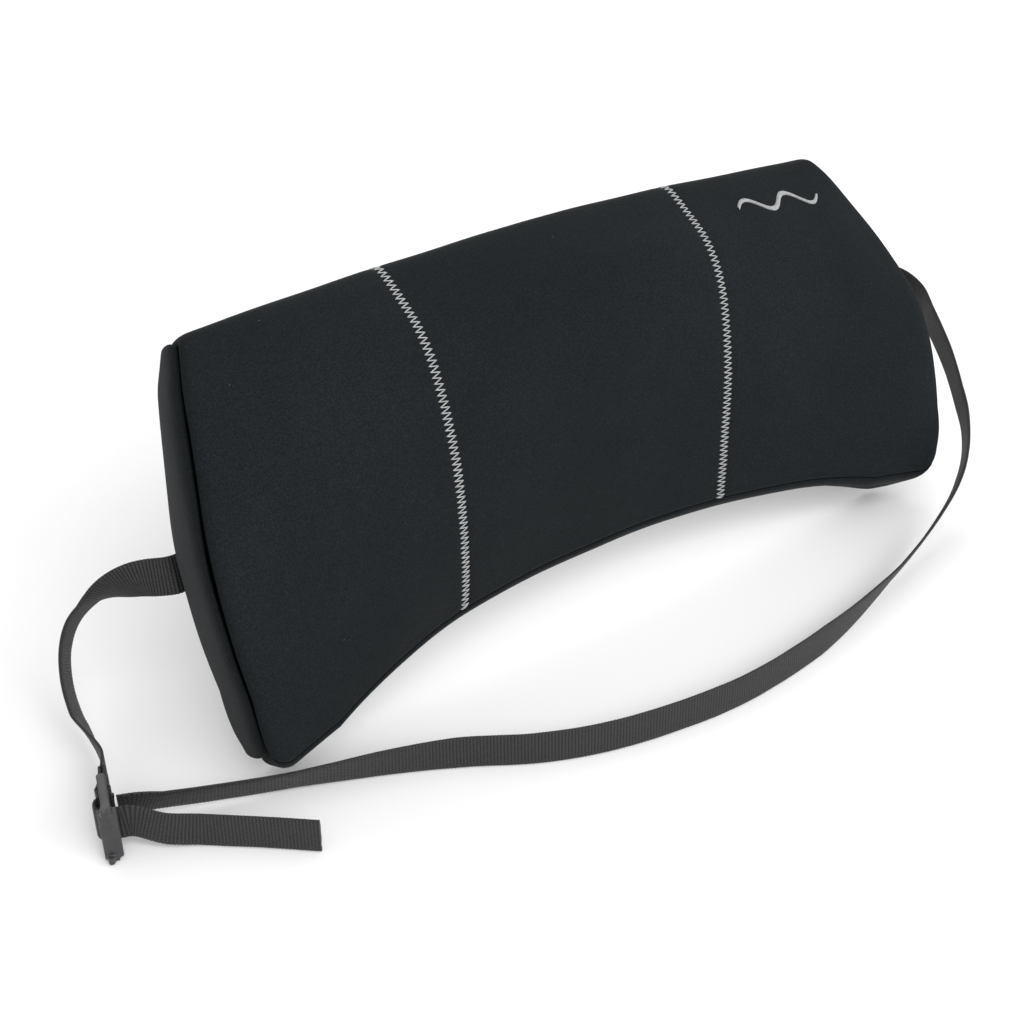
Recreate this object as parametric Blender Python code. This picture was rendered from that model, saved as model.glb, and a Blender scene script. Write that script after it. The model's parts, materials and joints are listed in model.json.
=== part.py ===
"""Lumbar support cushion with an adjustable chair strap.

Metres, +Z up. The cushion stands on the lower edge of its two ends and reclines, with its front
towards -Y and its width along X. The origin is the centre of the cushion's box, on the surface that
it stands on.
"""
import math

import bpy
import bmesh
import numpy as np
from mathutils import Vector

MM = 0.001

# Driving dimensions of the cushion, in millimetres
END_HEIGHT = 163.0          # height of each end, along the reclined rear face
BOTTOM_ARCH = 27.5          # rise of the lower edge from the ends to the middle
ARCH_END = 0.93             # share of the half width where that arch comes down to the surface
ARCH_POWER = 2.3
CORNER_RISE = 7.0           # rounding of the lower corners, beyond the end of the arch
HEAD_HEIGHT = 82.4          # upper edge at the ends, above the middle of the rear face
TOP_CROWN = 7.6             # rise of the upper edge from the ends to the middle
TOP_CROWN_POWER = 1.3
TOP_FALL = 5.0              # fall of the top face from front to back
RECLINE = math.radians(27.7)
REAR_BEHIND = 13.825        # middle of the rear face, behind the origin
END_SLANT = 0.12            # narrowing of an end for each millimetre towards the back
FOOT_RADIUS = 6.5           # rounded lower edge
UNDERSIDE_RISE = 5.0        # rise of the underside towards the front, at the ends
UNDERSIDE_RISE_FROM = 0.8   # share of the half width where that rise begins
UNDERSIDE_REACH = 0.35      # height share where it has faded out

# At each share of the height: half the width, the thickness in the middle, and how much thicker the
# ends are than the middle
WIDTHS = ((0.0, 171.5), (0.094, 176.0), (0.22, 178.5), (0.4, 179.4), (0.55, 177.4), (0.67, 173.0),
          (0.75, 169.6), (0.82, 166.4), (0.88, 163.7), (0.97, 158.5), (1.0, 156.5))
THICKNESS = ((0.0, 9.5), (0.16, 21.0), (0.30, 31.6), (0.405, 38.8), (0.51, 43.6), (0.62, 46.9),
             (0.70, 47.5), (0.76, 46.6), (0.83, 43.8), (0.905, 38.0), (0.95, 34.5), (1.0, 29.5))
END_THICKER = ((0.0, 29.0), (0.12, 27.0), (0.27, 20.0), (0.40, 13.0), (0.53, 7.0), (0.65, 0.0),
               (0.76, -4.0), (0.85, -5.5), (0.92, -4.0), (1.0, -3.0))
HALF_WIDTH = max(width for _, width in WIDTHS)

# Cover
SKIN = 3.0                  # thickness of the foam-backed knit cover
GAP = 0.3                   # clearance between neighbouring pieces
SEAM_SPAN = 0.385           # where the two upright seams cross, as a share of the half width
SEAM_MARK = -0.3            # where the front panel ends, part of the way round the lower edge
THREAD_WIDTH = 4.6
THREAD_HEIGHT = 0.5
MARK_COLUMNS = (0.555, 0.86)     # where the embroidered wave starts and ends, as shares of the half width
MARK_HEIGHT = 0.875          # its middle, as a share of the way up the front
MARK_RISE = 0.022
MARK_BAND = 0.012
MARK_WAVES = 2
MARK_STEPS = 24
MARK_THICKNESS = 0.6

# Webbing
WEB_WIDTH = 15.0
WEB_THICK = 1.3
WEB_LIFT = 7.9              # height of the strap's middle where it stands on its edge
FOOT_LENGTH = 40.0          # the strap's sewn foot on the rear panel
FOOT_OUTER = 165.0          # distance of the foot's outer end from the middle
FOOT_OUT = GAP + WEB_THICK / 2      # middle plane of the foot, behind the rear face
FOOT_CLEAR = 2.0            # clearance between a foot and the free strap that leaves it
LOOP_LENGTH = 12.0          # folded end of the short strap, from the loop bar

# Ladder lock, standing on one rail. Places along it are measured from its middle bar.
LOCK_WIDTH = 25.0           # across the rails
LOCK_MID = 12.9             # height of its middle
LOCK_PLACE = (-227.9, -28.1)
LOCK_HEADING = math.radians(253.1)  # direction from the loop bar to the thumb tab
LOOP_BAR_AT = -7.8
SLOT_IN_AT = -3.6           # the long strap's way in, between loop bar and middle bar
SLOT_OUT_AT = 3.9           # its way back, between middle bar and tab
STRAP_MOUTH = 4.2           # distance from the lock's plane where the long strap meets its turned end
TAB_AT = 8.4
BAR_RADIUS = 1.25
RAIL_THICK = 3.0
RAIL_DEPTH = 3.2
TAB_SPAN = 6.4

COLOURS = {
    "neoprene": (0.018, 0.021, 0.022, 1.0),
    "foam": (0.55, 0.53, 0.47, 1.0),
    "thread": (0.42, 0.43, 0.43, 1.0),
    "webbing": (0.030, 0.030, 0.031, 1.0),
    "black_thread": (0.022, 0.022, 0.023, 1.0),
    "acetal": (0.035, 0.034, 0.037, 1.0),
}
ROUGHNESS = {
    "neoprene": 0.9,
    "foam": 0.95,
    "thread": 0.6,
    "webbing": 0.75,
    "black_thread": 0.7,
    "acetal": 0.4,
}


def clear_scene():
    for item in list(bpy.data.objects):
        bpy.data.objects.remove(item, do_unlink=True)


def material(name):
    found = bpy.data.materials.get(name)
    if found:
        return found
    made = bpy.data.materials.new(name)
    made.use_nodes = True
    shader = made.node_tree.nodes["Principled BSDF"]
    shader.inputs["Base Color"].default_value = COLOURS[name]
    shader.inputs["Roughness"].default_value = ROUGHNESS[name]
    shader.inputs["Metallic"].default_value = 0.0
    return made


def add_mesh(name, verts, faces, material_name, smooth=True):
    """One object from world points in millimetres."""
    mesh = bpy.data.meshes.new(name)
    mesh.from_pydata([tuple(v * MM for v in p) for p in verts], [], faces)
    build = bmesh.new()
    build.from_mesh(mesh)
    bmesh.ops.recalc_face_normals(build, faces=build.faces)
    build.to_mesh(mesh)
    build.free()
    if smooth:
        mesh.shade_smooth()
        mesh.set_sharp_from_angle(angle=math.radians(35))
    item = bpy.data.objects.new(name, mesh)
    bpy.context.scene.collection.objects.link(item)
    mesh.materials.append(material(material_name))
    return item


def grid_solid(name, near, far, material_name):
    """Closed solid between two equal grids of points, each a list of rows."""
    rows, cols = len(near), len(near[0])
    verts = [p for row in near for p in row] + [p for row in far for p in row]
    half = rows * cols

    def at(i, j):
        return i * cols + j

    faces = []
    for i in range(rows - 1):
        for j in range(cols - 1):
            quad = [at(i, j), at(i + 1, j), at(i + 1, j + 1), at(i, j + 1)]
            faces.append(quad)
            faces.append([half + k for k in reversed(quad)])
    rim = [at(i, 0) for i in range(rows)] + [at(rows - 1, j) for j in range(1, cols)]
    rim += [at(i, cols - 1) for i in range(rows - 2, -1, -1)] + [at(0, j) for j in range(cols - 2, 0, -1)]
    for k, a in enumerate(rim):
        b = rim[(k + 1) % len(rim)]
        faces.append([b, a, half + a, half + b])
    return add_mesh(name, verts, faces, material_name)


# ---- the cushion's form -------------------------------------------------------------------------

def curve(table, share):
    """Value of a smooth curve through a table of (share, value)."""
    places, values = np.array(table).T
    slopes = np.gradient(values, places)
    share = min(max(share, places[0]), places[-1])
    k = min(int(np.searchsorted(places, share, side="right")) - 1, len(places) - 2)
    step = places[k + 1] - places[k]
    f = (share - places[k]) / step
    return float(values[k] * (1 + 2 * f) * (1 - f) ** 2 + values[k + 1] * f * f * (3 - 2 * f)
                 + step * (slopes[k] * f * (1 - f) ** 2 - slopes[k + 1] * f * f * (1 - f)))


def depth(u, share):
    """Distance of the front face from the flat rear face, above the rounded lower edge."""
    return curve(THICKNESS, share) + curve(END_THICKER, share) * u * u


def edge_heights(u):
    """Lower and upper edge of the section at u, measured along the rear face from its middle."""
    arch = 1.0 - min(abs(u) / ARCH_END, 1.0) ** ARCH_POWER
    corner = max(0.0, (abs(u) - ARCH_END) / (1.0 - ARCH_END)) ** 2
    low = -END_HEIGHT / 2 + BOTTOM_ARCH * arch + CORNER_RISE * corner
    return low, HEAD_HEIGHT + TOP_CROWN * (1.0 - abs(u) ** TOP_CROWN_POWER)


def outline_point(u, mark):
    """Point (depth, height) of the section's outer line.

    The mark runs from -2 to -1 along the flat underside, to 0 round the lower edge, to 1 up the
    front, and to 2 back over the top to the rear face.
    """
    low, high = edge_heights(u)
    foot_share = FOOT_RADIUS / (high - low)
    flat = depth(u, foot_share) - FOOT_RADIUS
    if mark <= -1.0:
        t, share = flat * (mark + 2.0), 0.0
    elif mark <= 0.0:
        turn = (mark + 1.0) * math.pi / 2
        t, share = flat + FOOT_RADIUS * math.sin(turn), foot_share * (1.0 - math.cos(turn))
    elif mark <= 1.0:
        share = foot_share + (1.0 - foot_share) * mark
        t = depth(u, share)
    else:
        back = mark - 1.0
        return depth(u, 1.0) * (1.0 - back), high - TOP_FALL * back ** 1.6
    near_end = min(max((abs(u) - UNDERSIDE_RISE_FROM) / (ARCH_END - UNDERSIDE_RISE_FROM), 0.0), 1.0)
    fade = max(0.0, 1.0 - share / UNDERSIDE_REACH) ** 2
    rise = UNDERSIDE_RISE * near_end * min(t / flat, 1.0) * fade
    return t, low + (high - low) * share + rise


def section(u, marks, inset):
    """Points (depth, height, height share) of the section's outer line, moved inwards by inset."""
    low, high = edge_heights(u)
    points = []
    for mark in marks:
        before = np.array(outline_point(u, max(-2.0, mark - 1e-4)))
        after = np.array(outline_point(u, min(2.0, mark + 1e-4)))
        along = (after - before) / np.linalg.norm(after - before)
        t, z = np.array(outline_point(u, mark)) + np.array([-along[1], along[0]]) * inset
        share = (outline_point(u, mark)[1] - low) / (high - low)
        points.append((float(t), float(z), share))
    return points


def front_marks():
    return list(np.linspace(SEAM_MARK, 0.0, 3)) + list(np.linspace(0.0, 1.0, 11))[1:] + \
        list(np.linspace(1.0, 2.0, 9))[1:]


def bottom_marks():
    return [-2.0, -1.5, -1.0] + list(np.linspace(-1.0, SEAM_MARK - 0.04, 4))[1:]


def standing(x, t, z):
    """Cushion coordinates (across, depth in front of the rear face, up) to the leaning place, in mm."""
    return (x,
            z * math.sin(RECLINE) - t * math.cos(RECLINE) + REAR_BEHIND,
            z * math.cos(RECLINE) + t * math.sin(RECLINE) + REAR_ABOVE)


def upright_columns():
    """Places of the upright mesh lines, the same on every panel so that their edges meet."""
    seams = [side * SEAM_SPAN + step for side in (-1, 1) for step in (-SEAM_GAP, SEAM_GAP)]
    ends = [side * u for side in (-1, 1) for u in (1.0, 0.975, 0.95, 0.925)]
    return sorted(seams + ends + [k / 10 for k in range(-9, 10) if k not in (-4, 4)])


SEAM_GAP = GAP / 2 / HALF_WIDTH
COLUMNS = upright_columns()
REAR_ABOVE = END_HEIGHT / 2 * math.cos(RECLINE)     # middle of the rear face, above the surface


def across(u, t, share):
    """X of a point: straight upright lines out to the seams, then lines that spread with the width."""
    width = curve(WIDTHS, share) - END_SLANT * max(depth(u, share) - t, 0.0)
    inner = SEAM_SPAN * HALF_WIDTH
    outer = (max(abs(u), SEAM_SPAN) - SEAM_SPAN) / (1.0 - SEAM_SPAN)
    return math.copysign(1.0, u) * (min(abs(u), SEAM_SPAN) * HALF_WIDTH + outer * (width - inner))


def surface(u, marks, inset):
    """World points of one upright line of the cover, moved inwards by inset."""
    return [standing(across(u, t, s), t, z) for t, z, s in section(u, marks, inset)]


# ---- cover --------------------------------------------------------------------------------------

def front_panel(name, u_from, u_to):
    spans = [u for u in COLUMNS if u_from - 1e-6 <= u <= u_to + 1e-6]
    outer = [surface(u, front_marks(), 0.0) for u in spans]
    inner = [surface(u, front_marks(), SKIN) for u in spans]
    return grid_solid(name, outer, inner, "neoprene")


def bottom_panel():
    """The underside, from the rear face to the seam under the front."""
    outer = [surface(u, bottom_marks(), 0.0) for u in COLUMNS]
    inner = [surface(u, bottom_marks(), SKIN) for u in COLUMNS]
    return grid_solid("bottom_panel", outer, inner, "neoprene")


def back_panel():
    """Flat rear panel, inside the turned edges of the front and bottom panels."""
    outer, inner = [], []
    for u in COLUMNS:
        low, high = edge_heights(u)
        heights = np.linspace(low + SKIN + 6 * GAP, high - TOP_FALL - SKIN - 3 * GAP, 9)
        column_out, column_in = [], []
        for z in heights:
            share = (z - low) / (high - low)
            column_out.append(standing(across(u, 0.0, share), 0.0, z))
            column_in.append(standing(across(u, SKIN, share), SKIN, z))
        outer.append(column_out)
        inner.append(column_in)
    return grid_solid("back_panel", outer, inner, "neoprene")


def inner_line(u, inset):
    """Front depth as a function of height, for pieces inside the cover."""
    marks = [-2.0, -1.7, -1.4] + list(np.linspace(-1.0, 0.0, 9)) + list(np.linspace(0.0, 1.0, 21))[1:]
    line = section(u, marks, inset)
    heights = [z for _, z, _ in line]
    depths = [t for t, _, _ in line]

    def front_at(z):
        return float(np.interp(z, heights, depths))
    return front_at


def level_heights(u, margin_low, margin_high, count):
    low, high = edge_heights(u)
    ease = [0.5 - 0.5 * math.cos(a) for a in np.linspace(0.0, math.pi, count)]
    mixed = [0.5 * e + 0.5 * k / (count - 1) for k, e in enumerate(ease)]
    return [low + margin_low + (high - margin_high - low - margin_low) * m for m in mixed]


def end_panel(name, side):
    """D-shaped gusset that closes one end, set inside the edges of the other panels."""
    inset = SKIN + 2 * GAP
    front_at = inner_line(1.0, inset + 1.2)
    low, high = edge_heights(1.0)
    outer, inner = [], []
    for z in level_heights(1.0, inset + 1.8, inset + TOP_FALL + 2.0, 15):
        share = (z - low) / (high - low)
        row_out, row_in = [], []
        for t in np.linspace(inset, front_at(z), 5):
            x = across(1.0, t, share)
            row_out.append(standing(side * x, t, z))
            row_in.append(standing(side * (x - SKIN), t, z))
        outer.append(row_out)
        inner.append(row_in)
    return grid_solid(name, outer, inner, "neoprene")


def foam_core():
    """One moulded foam block that fills the cover."""
    inset = SKIN + 4 * GAP
    front, rear = [], []
    for u in [u for u in COLUMNS if abs(abs(u) - SEAM_SPAN) > 2 * SEAM_GAP or abs(u) < SEAM_SPAN]:
        inside = u * (1.0 - 1.35 * inset / HALF_WIDTH)
        front_at = inner_line(inside, inset)
        low, high = edge_heights(inside)
        column_front, column_rear = [], []
        for z in level_heights(inside, inset + 2.8, inset + TOP_FALL + 2.6, 15):
            share = (z - low) / (high - low)
            t = front_at(z)
            column_front.append(standing(across(inside, t, share), t, z))
            column_rear.append(standing(across(inside, inset, share), inset, z))
        front.append(column_front)
        rear.append(column_rear)
    return grid_solid("foam_core", front, rear, "foam")


def seam_thread(name, u):
    """The band of zigzag stitching that lies over one upright butt seam."""
    half = THREAD_WIDTH / 2 / HALF_WIDTH
    marks = front_marks()[1:]
    spans = [u - half, u, u + half]
    outer = [surface(k, marks, -GAP - THREAD_HEIGHT) for k in spans]
    inner = [surface(k, marks, -GAP) for k in spans]
    return grid_solid(name, outer, inner, "thread")


def embroidered_mark():
    """A plain embroidered wave on the upper corner of the right section's front."""
    outer, inner = [], []
    for k in range(MARK_STEPS + 1):
        share = k / MARK_STEPS
        u = MARK_COLUMNS[0] + (MARK_COLUMNS[1] - MARK_COLUMNS[0]) * share
        middle = MARK_HEIGHT + MARK_RISE * math.sin(share * MARK_WAVES * 2 * math.pi)
        marks = [middle - MARK_BAND, middle + MARK_BAND]
        outer.append(surface(u, marks, -GAP - MARK_THICKNESS))
        inner.append(surface(u, marks, -GAP / 3))
    return grid_solid("embroidered_mark", outer, inner, "thread")


# ---- webbing ------------------------------------------------------------------------------------

UP = Vector((0.0, 0.0, 1.0))
ALONG_BACK = Vector((0.0, math.sin(RECLINE), math.cos(RECLINE)))


def smooth_route(points, spacing):
    """Even points along a Catmull-Rom curve through the route's own points."""
    route = [Vector(p) for p in points]
    route = [route[0] * 2 - route[1]] + route + [route[-1] * 2 - route[-2]]
    dense = []
    for a, b, c, d in zip(route, route[1:], route[2:], route[3:]):
        for k in range(24):
            f = k / 24
            dense.append(0.5 * ((2 * b) + (c - a) * f + (2 * a - 5 * b + 4 * c - d) * f * f
                                + (3 * b - a - 3 * c + d) * f ** 3))
    dense.append(route[-2])
    lengths = np.concatenate([[0.0], np.cumsum([(q - p).length for p, q in zip(dense, dense[1:])])])
    count = max(2, int(round(lengths[-1] / spacing)) + 1)
    even = []
    for mark in np.linspace(0.0, lengths[-1], count):
        place = [float(np.interp(mark, lengths, [p[axis] for p in dense])) for axis in range(3)]
        even.append(Vector(place))
    return even


def ribbon(name, points, width_ways, material_name="webbing", width=WEB_WIDTH, thick=WEB_THICK):
    """Flat webbing along points; width_ways gives the direction across it at each point."""
    near, far = [], []
    last = len(points) - 1
    for k, p in enumerate(points):
        tangent = (points[min(k + 1, last)] - points[max(k - 1, 0)]).normalized()
        wide = width_ways[k] - tangent * width_ways[k].dot(tangent)
        wide.normalize()
        face = tangent.cross(wide)
        near.append([tuple(p + wide * width * e + face * thick / 2) for e in (-0.5, 0.5)])
        far.append([tuple(p + wide * width * e - face * thick / 2) for e in (-0.5, 0.5)])
    return grid_solid(name, near, far, material_name)


def turning(points, turns):
    """Directions across a strap that turns on its way; turns are (distance along it, direction)."""
    walked = [0.0]
    for p, q in zip(points, points[1:]):
        walked.append(walked[-1] + (q - p).length)
    marks = [mark for mark, _ in turns]
    ways = []
    for distance in walked:
        way = [float(np.interp(distance, marks, [turn[axis] for _, turn in turns])) for axis in range(3)]
        ways.append(Vector(way).normalized())
    return ways


def behind(x, out, z):
    """A point behind the rear face: out is the distance from that face."""
    return Vector(standing(x, -out, z))


def strap_foot(name, side):
    """The strap's folded and sewn foot on the rear panel."""
    points = [behind(side * x, FOOT_OUT, 0.0) for x in (FOOT_OUTER - FOOT_LENGTH, FOOT_OUTER)]
    return ribbon(name, points, [ALONG_BACK] * 2)


def box_stitch(name, side):
    """Rectangle of lock stitching over a strap's foot."""
    middle = side * (FOOT_OUTER - FOOT_LENGTH / 2)
    half_long, half_tall, line = 15.0, 5.2, 0.9
    base = FOOT_OUT + WEB_THICK / 2 + GAP
    rings = []
    for inset, out in ((0.0, base), (0.0, base + 0.4), (line, base + 0.4), (line, base)):
        a, b = half_long - inset, half_tall - inset
        rings.append([behind(middle + x, out, z) for x, z in ((-a, -b), (a, -b), (a, b), (-a, b))])
    verts = [tuple(p) for ring in rings for p in ring]
    faces = []
    for r in range(4):
        for k in range(4):
            nxt = (k + 1) % 4
            after = (r + 1) % 4
            faces.append([r * 4 + k, r * 4 + nxt, after * 4 + nxt, after * 4 + k])
    return add_mesh(name, verts, faces, "black_thread", smooth=False)


# Directions of the ladder lock, which stands on its edge
LOCK_ALONG = Vector((math.cos(LOCK_HEADING), math.sin(LOCK_HEADING), 0.0))
LOCK_SIDE = UP.cross(LOCK_ALONG)


def lock_point(along, out, z=0.0):
    """A point by its place along the lock, out from the lock's plane, and up from its middle."""
    place = Vector((LOCK_PLACE[0], LOCK_PLACE[1], LOCK_MID + z))
    return place + LOCK_ALONG * along + LOCK_SIDE * out


# Directions across the straps where they lie over: towards the front and the left
SHORT_LEAN = Vector((-0.45, -0.62, 0.64))
LONG_LEAN = Vector((-0.35, -0.50, 0.79))
FRONT_LEAN = Vector((-0.10, -0.45, 0.89))

SHORT_ROUTE = [(-176.0, 16.7, 70.6), (-186.0, 26.9, 67.0), (-196.0, 37.9, 58.0), (-204.5, 44.4, 47.0),
               (-210.5, 43.9, 36.0), (-214.5, 36.9, 26.0), (-216.5, 25.9, 18.5), (-216.5, 13.9, 14.5),
               (-217.3, 0.4, 13.0)]

LONG_ROUTE = [(176.0, 16.7, 72.5), (190.0, 28.9, 73.5), (206.0, 38.9, 75.0), (221.0, 37.9, 75.5),
              (229.5, 25.9, 74.5), (228.0, 9.9, 72.0), (220.0, -6.1, 67.0), (210.0, -26.1, 59.0),
              (201.0, -42.1, 50.0), (194.0, -54.1, 41.0), (184.0, -64.1, 32.0), (170.0, -72.1, 23.5),
              (152.0, -78.1, 16.0), (130.0, -84.6, 11.0), (102.0, -92.6, 8.6), (70.0, -100.6, WEB_LIFT),
              (38.0, -105.6, WEB_LIFT), (5.0, -107.1, WEB_LIFT), (-28.0, -103.1, WEB_LIFT),
              (-56.0, -96.1, WEB_LIFT), (-80.0, -85.6, WEB_LIFT), (-104.0, -70.6, WEB_LIFT),
              (-127.0, -59.6, WEB_LIFT), (-150.0, -50.6, WEB_LIFT), (-172.0, -42.1, 8.0),
              (-193.0, -34.1, 9.0), (-206.0, -29.9, 10.6)]

TAIL_ROUTE = [(-212.5, -42.9, 10.0), (-202.3, -48.7, 8.2), (-193.9, -55.4, WEB_LIFT),
              (-186.0, -62.0, WEB_LIFT), (-177.8, -69.2, WEB_LIFT), (-169.1, -77.0, WEB_LIFT)]


def rear_exit(side, height):
    """The first stretch of a strap, from its foot past the end of the cushion."""
    return [behind(side * (FOOT_OUTER + FOOT_CLEAR), FOOT_OUT + 0.2, 0.0),
            behind(side * (FOOT_OUTER + 6.0), FOOT_OUT + 1.6, height)]


def short_strap():
    stop = lock_point(LOOP_BAR_AT, 0.0) + loop_way() * (LOOP_LENGTH + GAP)
    points = smooth_route(rear_exit(-1, -0.4) + SHORT_ROUTE + [stop], 6.0)
    turns = [(16.0, ALONG_BACK), (48.0, SHORT_LEAN), (100.0, SHORT_LEAN), (125.0, UP)]
    return ribbon("short_strap", points, turning(points, turns))


def long_strap():
    mouth = [lock_point(SLOT_IN_AT, 10.0), lock_point(SLOT_IN_AT, STRAP_MOUTH)]
    points = smooth_route(rear_exit(1, 0.1) + LONG_ROUTE + mouth, 10.0)
    turns = [(16.0, ALONG_BACK), (60.0, UP), (150.0, UP), (200.0, LONG_LEAN), (270.0, LONG_LEAN),
             (330.0, UP), (500.0, UP), (560.0, FRONT_LEAN), (610.0, FRONT_LEAN), (635.0, UP)]
    return ribbon("long_strap", points, turning(points, turns))


def long_strap_tail():
    """The end of the long strap: through the lock, round its middle bar, and out to the free end."""
    turn = [lock_point(SLOT_IN_AT, STRAP_MOUTH - 3 * GAP), lock_point(SLOT_IN_AT, 0.0)]
    centre, radius = (SLOT_IN_AT + SLOT_OUT_AT) / 2, (SLOT_OUT_AT - SLOT_IN_AT) / 2
    for k in range(1, 8):
        angle = math.pi * k / 8
        turn.append(lock_point(centre - radius * math.cos(angle), -0.6 - radius * 0.9 * math.sin(angle)))
    turn += [lock_point(SLOT_OUT_AT, 0.0), lock_point(SLOT_OUT_AT + 0.2, STRAP_MOUTH)]
    rest = smooth_route([turn[-1], lock_point(SLOT_OUT_AT + 1.4, 9.0)] + TAIL_ROUTE, 7.0)
    points = turn + rest[1:]
    return ribbon("long_strap_tail", points, [UP] * len(points))


def loop_way():
    """Direction in which the folded end of the short strap leaves the loop bar."""
    bar = lock_point(LOOP_BAR_AT, 0.0)
    return (Vector((*SHORT_ROUTE[-1][:2], bar.z)) - bar).normalized()


def short_strap_loop():
    """Folded end of the short strap round the loop bar, with its cut end lying on the strap."""
    bar = lock_point(LOOP_BAR_AT, 0.0)
    way = loop_way()
    side = UP.cross(way)
    clear = BAR_RADIUS + 0.45 + WEB_THICK / 2
    close = (WEB_THICK + GAP) / 2
    points = [bar + way * LOOP_LENGTH + side * close, bar + way * 5.5 + side * close * 1.2]
    for k in range(9):
        angle = math.radians(50 + 260 * k / 8)
        points.append(bar + way * math.cos(angle) * clear + side * math.sin(angle) * clear)
    points += [bar + way * 5.5 - side * close * 1.2, bar + way * LOOP_LENGTH - side * close]
    return ribbon("short_strap_loop", points, [UP] * len(points))


def loop_bar_tack():
    """Dense stitching that closes the folded end."""
    bar = lock_point(LOOP_BAR_AT, 0.0)
    way = loop_way()
    side = UP.cross(way)
    out = side * (WEB_THICK + 0.9 * GAP + 0.5 + 0.2)
    points = [bar + way * 7.6 - out, bar + way * 9.6 - out]
    return ribbon("loop_bar_tack", points, [UP] * 2, "black_thread", width=11.0, thick=0.4)


# ---- ladder lock --------------------------------------------------------------------------------

def outline_bar(name, outline, z_from, z_to):
    """A bar whose outline in the lock's plane (along, out) is drawn up from z_from to z_to."""
    count = len(outline)
    verts = [tuple(lock_point(a, o, z)) for z in (z_from, z_to) for a, o in outline]
    faces = [list(range(count)), [count + k for k in reversed(range(count))]]
    for k in range(count):
        nxt = (k + 1) % count
        faces.append([k, nxt, count + nxt, count + k])
    return add_mesh(name, verts, faces, "acetal")


def round_outline(along, radius_along, radius_out, sides=12):
    turn = 2 * math.pi / sides
    turns = [k * turn for k in range(sides)]
    return [(along + radius_along * math.cos(a), radius_out * math.sin(a)) for a in turns]


def rail_outline():
    """Side view of a rail: rounded at the loop end, with a toe that stands proud at the tab end."""
    half = RAIL_DEPTH / 2
    loop_end = LOOP_BAR_AT - 2.2
    points = [(loop_end, -half * 0.5), (loop_end + 0.8, -half), (TAB_AT - 1.0, -half),
              (TAB_AT + 1.9, -half - 0.9)]
    points += [(TAB_AT + 3.0, -half - 0.2), (TAB_AT + 3.0, half - 0.6), (TAB_AT + 1.6, half)]
    points += [(loop_end + 0.8, half), (loop_end, half * 0.5)]
    return points


def tab_outline():
    """Section of the thumb tab: a plate across the lock's plane with a convex outer face."""
    half = TAB_SPAN / 2
    inner = [(TAB_AT - 0.9, -half), (TAB_AT - 0.9, half)]
    outer = []
    for k in range(7):
        out = half - 2 * half * k / 6
        outer.append((TAB_AT + 0.9 - 0.9 * (out / half) ** 2 + 0.3, out))
    return inner + outer


def ladder_lock():
    """One moulded piece: two rails, loop bar, toothed middle bar and thumb tab."""
    half = LOCK_WIDTH / 2
    inside = half - RAIL_THICK
    overlap = 0.6
    body = outline_bar("ladder_lock", rail_outline(), inside, half)
    joined = [outline_bar("lower_rail", rail_outline(), -half, -inside),
              outline_bar("loop_bar", round_outline(LOOP_BAR_AT, BAR_RADIUS, BAR_RADIUS),
                          -inside - overlap, inside + overlap),
              outline_bar("middle_bar", round_outline(0.0, 1.3, 1.25, 8), -inside - overlap,
                          inside + overlap),
              outline_bar("thumb_tab", tab_outline(), -inside - 1.2, inside + 1.2)]
    for tool in joined:
        tool.hide_render = True
        tool.display_type = "WIRE"
        union = body.modifiers.new(tool.name, "BOOLEAN")
        union.operation = "UNION"
        union.solver = "EXACT"
        union.object = tool
    return body


def build():
    clear_scene()
    front_panel("front_panel_left", -1.0, -SEAM_SPAN - SEAM_GAP)
    front_panel("front_panel_centre", -SEAM_SPAN + SEAM_GAP, SEAM_SPAN - SEAM_GAP)
    front_panel("front_panel_right", SEAM_SPAN + SEAM_GAP, 1.0)
    bottom_panel()
    back_panel()
    end_panel("end_panel_left", -1)
    end_panel("end_panel_right", 1)
    foam_core()
    seam_thread("seam_thread_left", -SEAM_SPAN)
    seam_thread("seam_thread_right", SEAM_SPAN)
    embroidered_mark()
    for side, word in ((-1, "left"), (1, "right")):
        strap_foot("strap_foot_" + word, side)
        box_stitch("box_stitch_" + word, side)
    short_strap()
    short_strap_loop()
    loop_bar_tack()
    long_strap()
    long_strap_tail()
    ladder_lock()


build()
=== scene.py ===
"""Lumbar support cushion with its chair strap: finished surfaces, materials, light and view.

Named sizes are in millimetres, apart from those marked as metres. The cushion's own coordinates
are x across, t in front of its flat rear face and z up along that face. A place on its cover is a
column (-1 to 1 across) and a mark (-2 to -1 along the underside, to 0 round the lower edge, to 1
up the front, to 2 over the top, to 4 down the rear face). Each end is a panel of its own.
"""

import json
import math

import bpy
import bmesh
import numpy as np
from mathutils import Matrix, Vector
from mathutils.kdtree import KDTree


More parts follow.
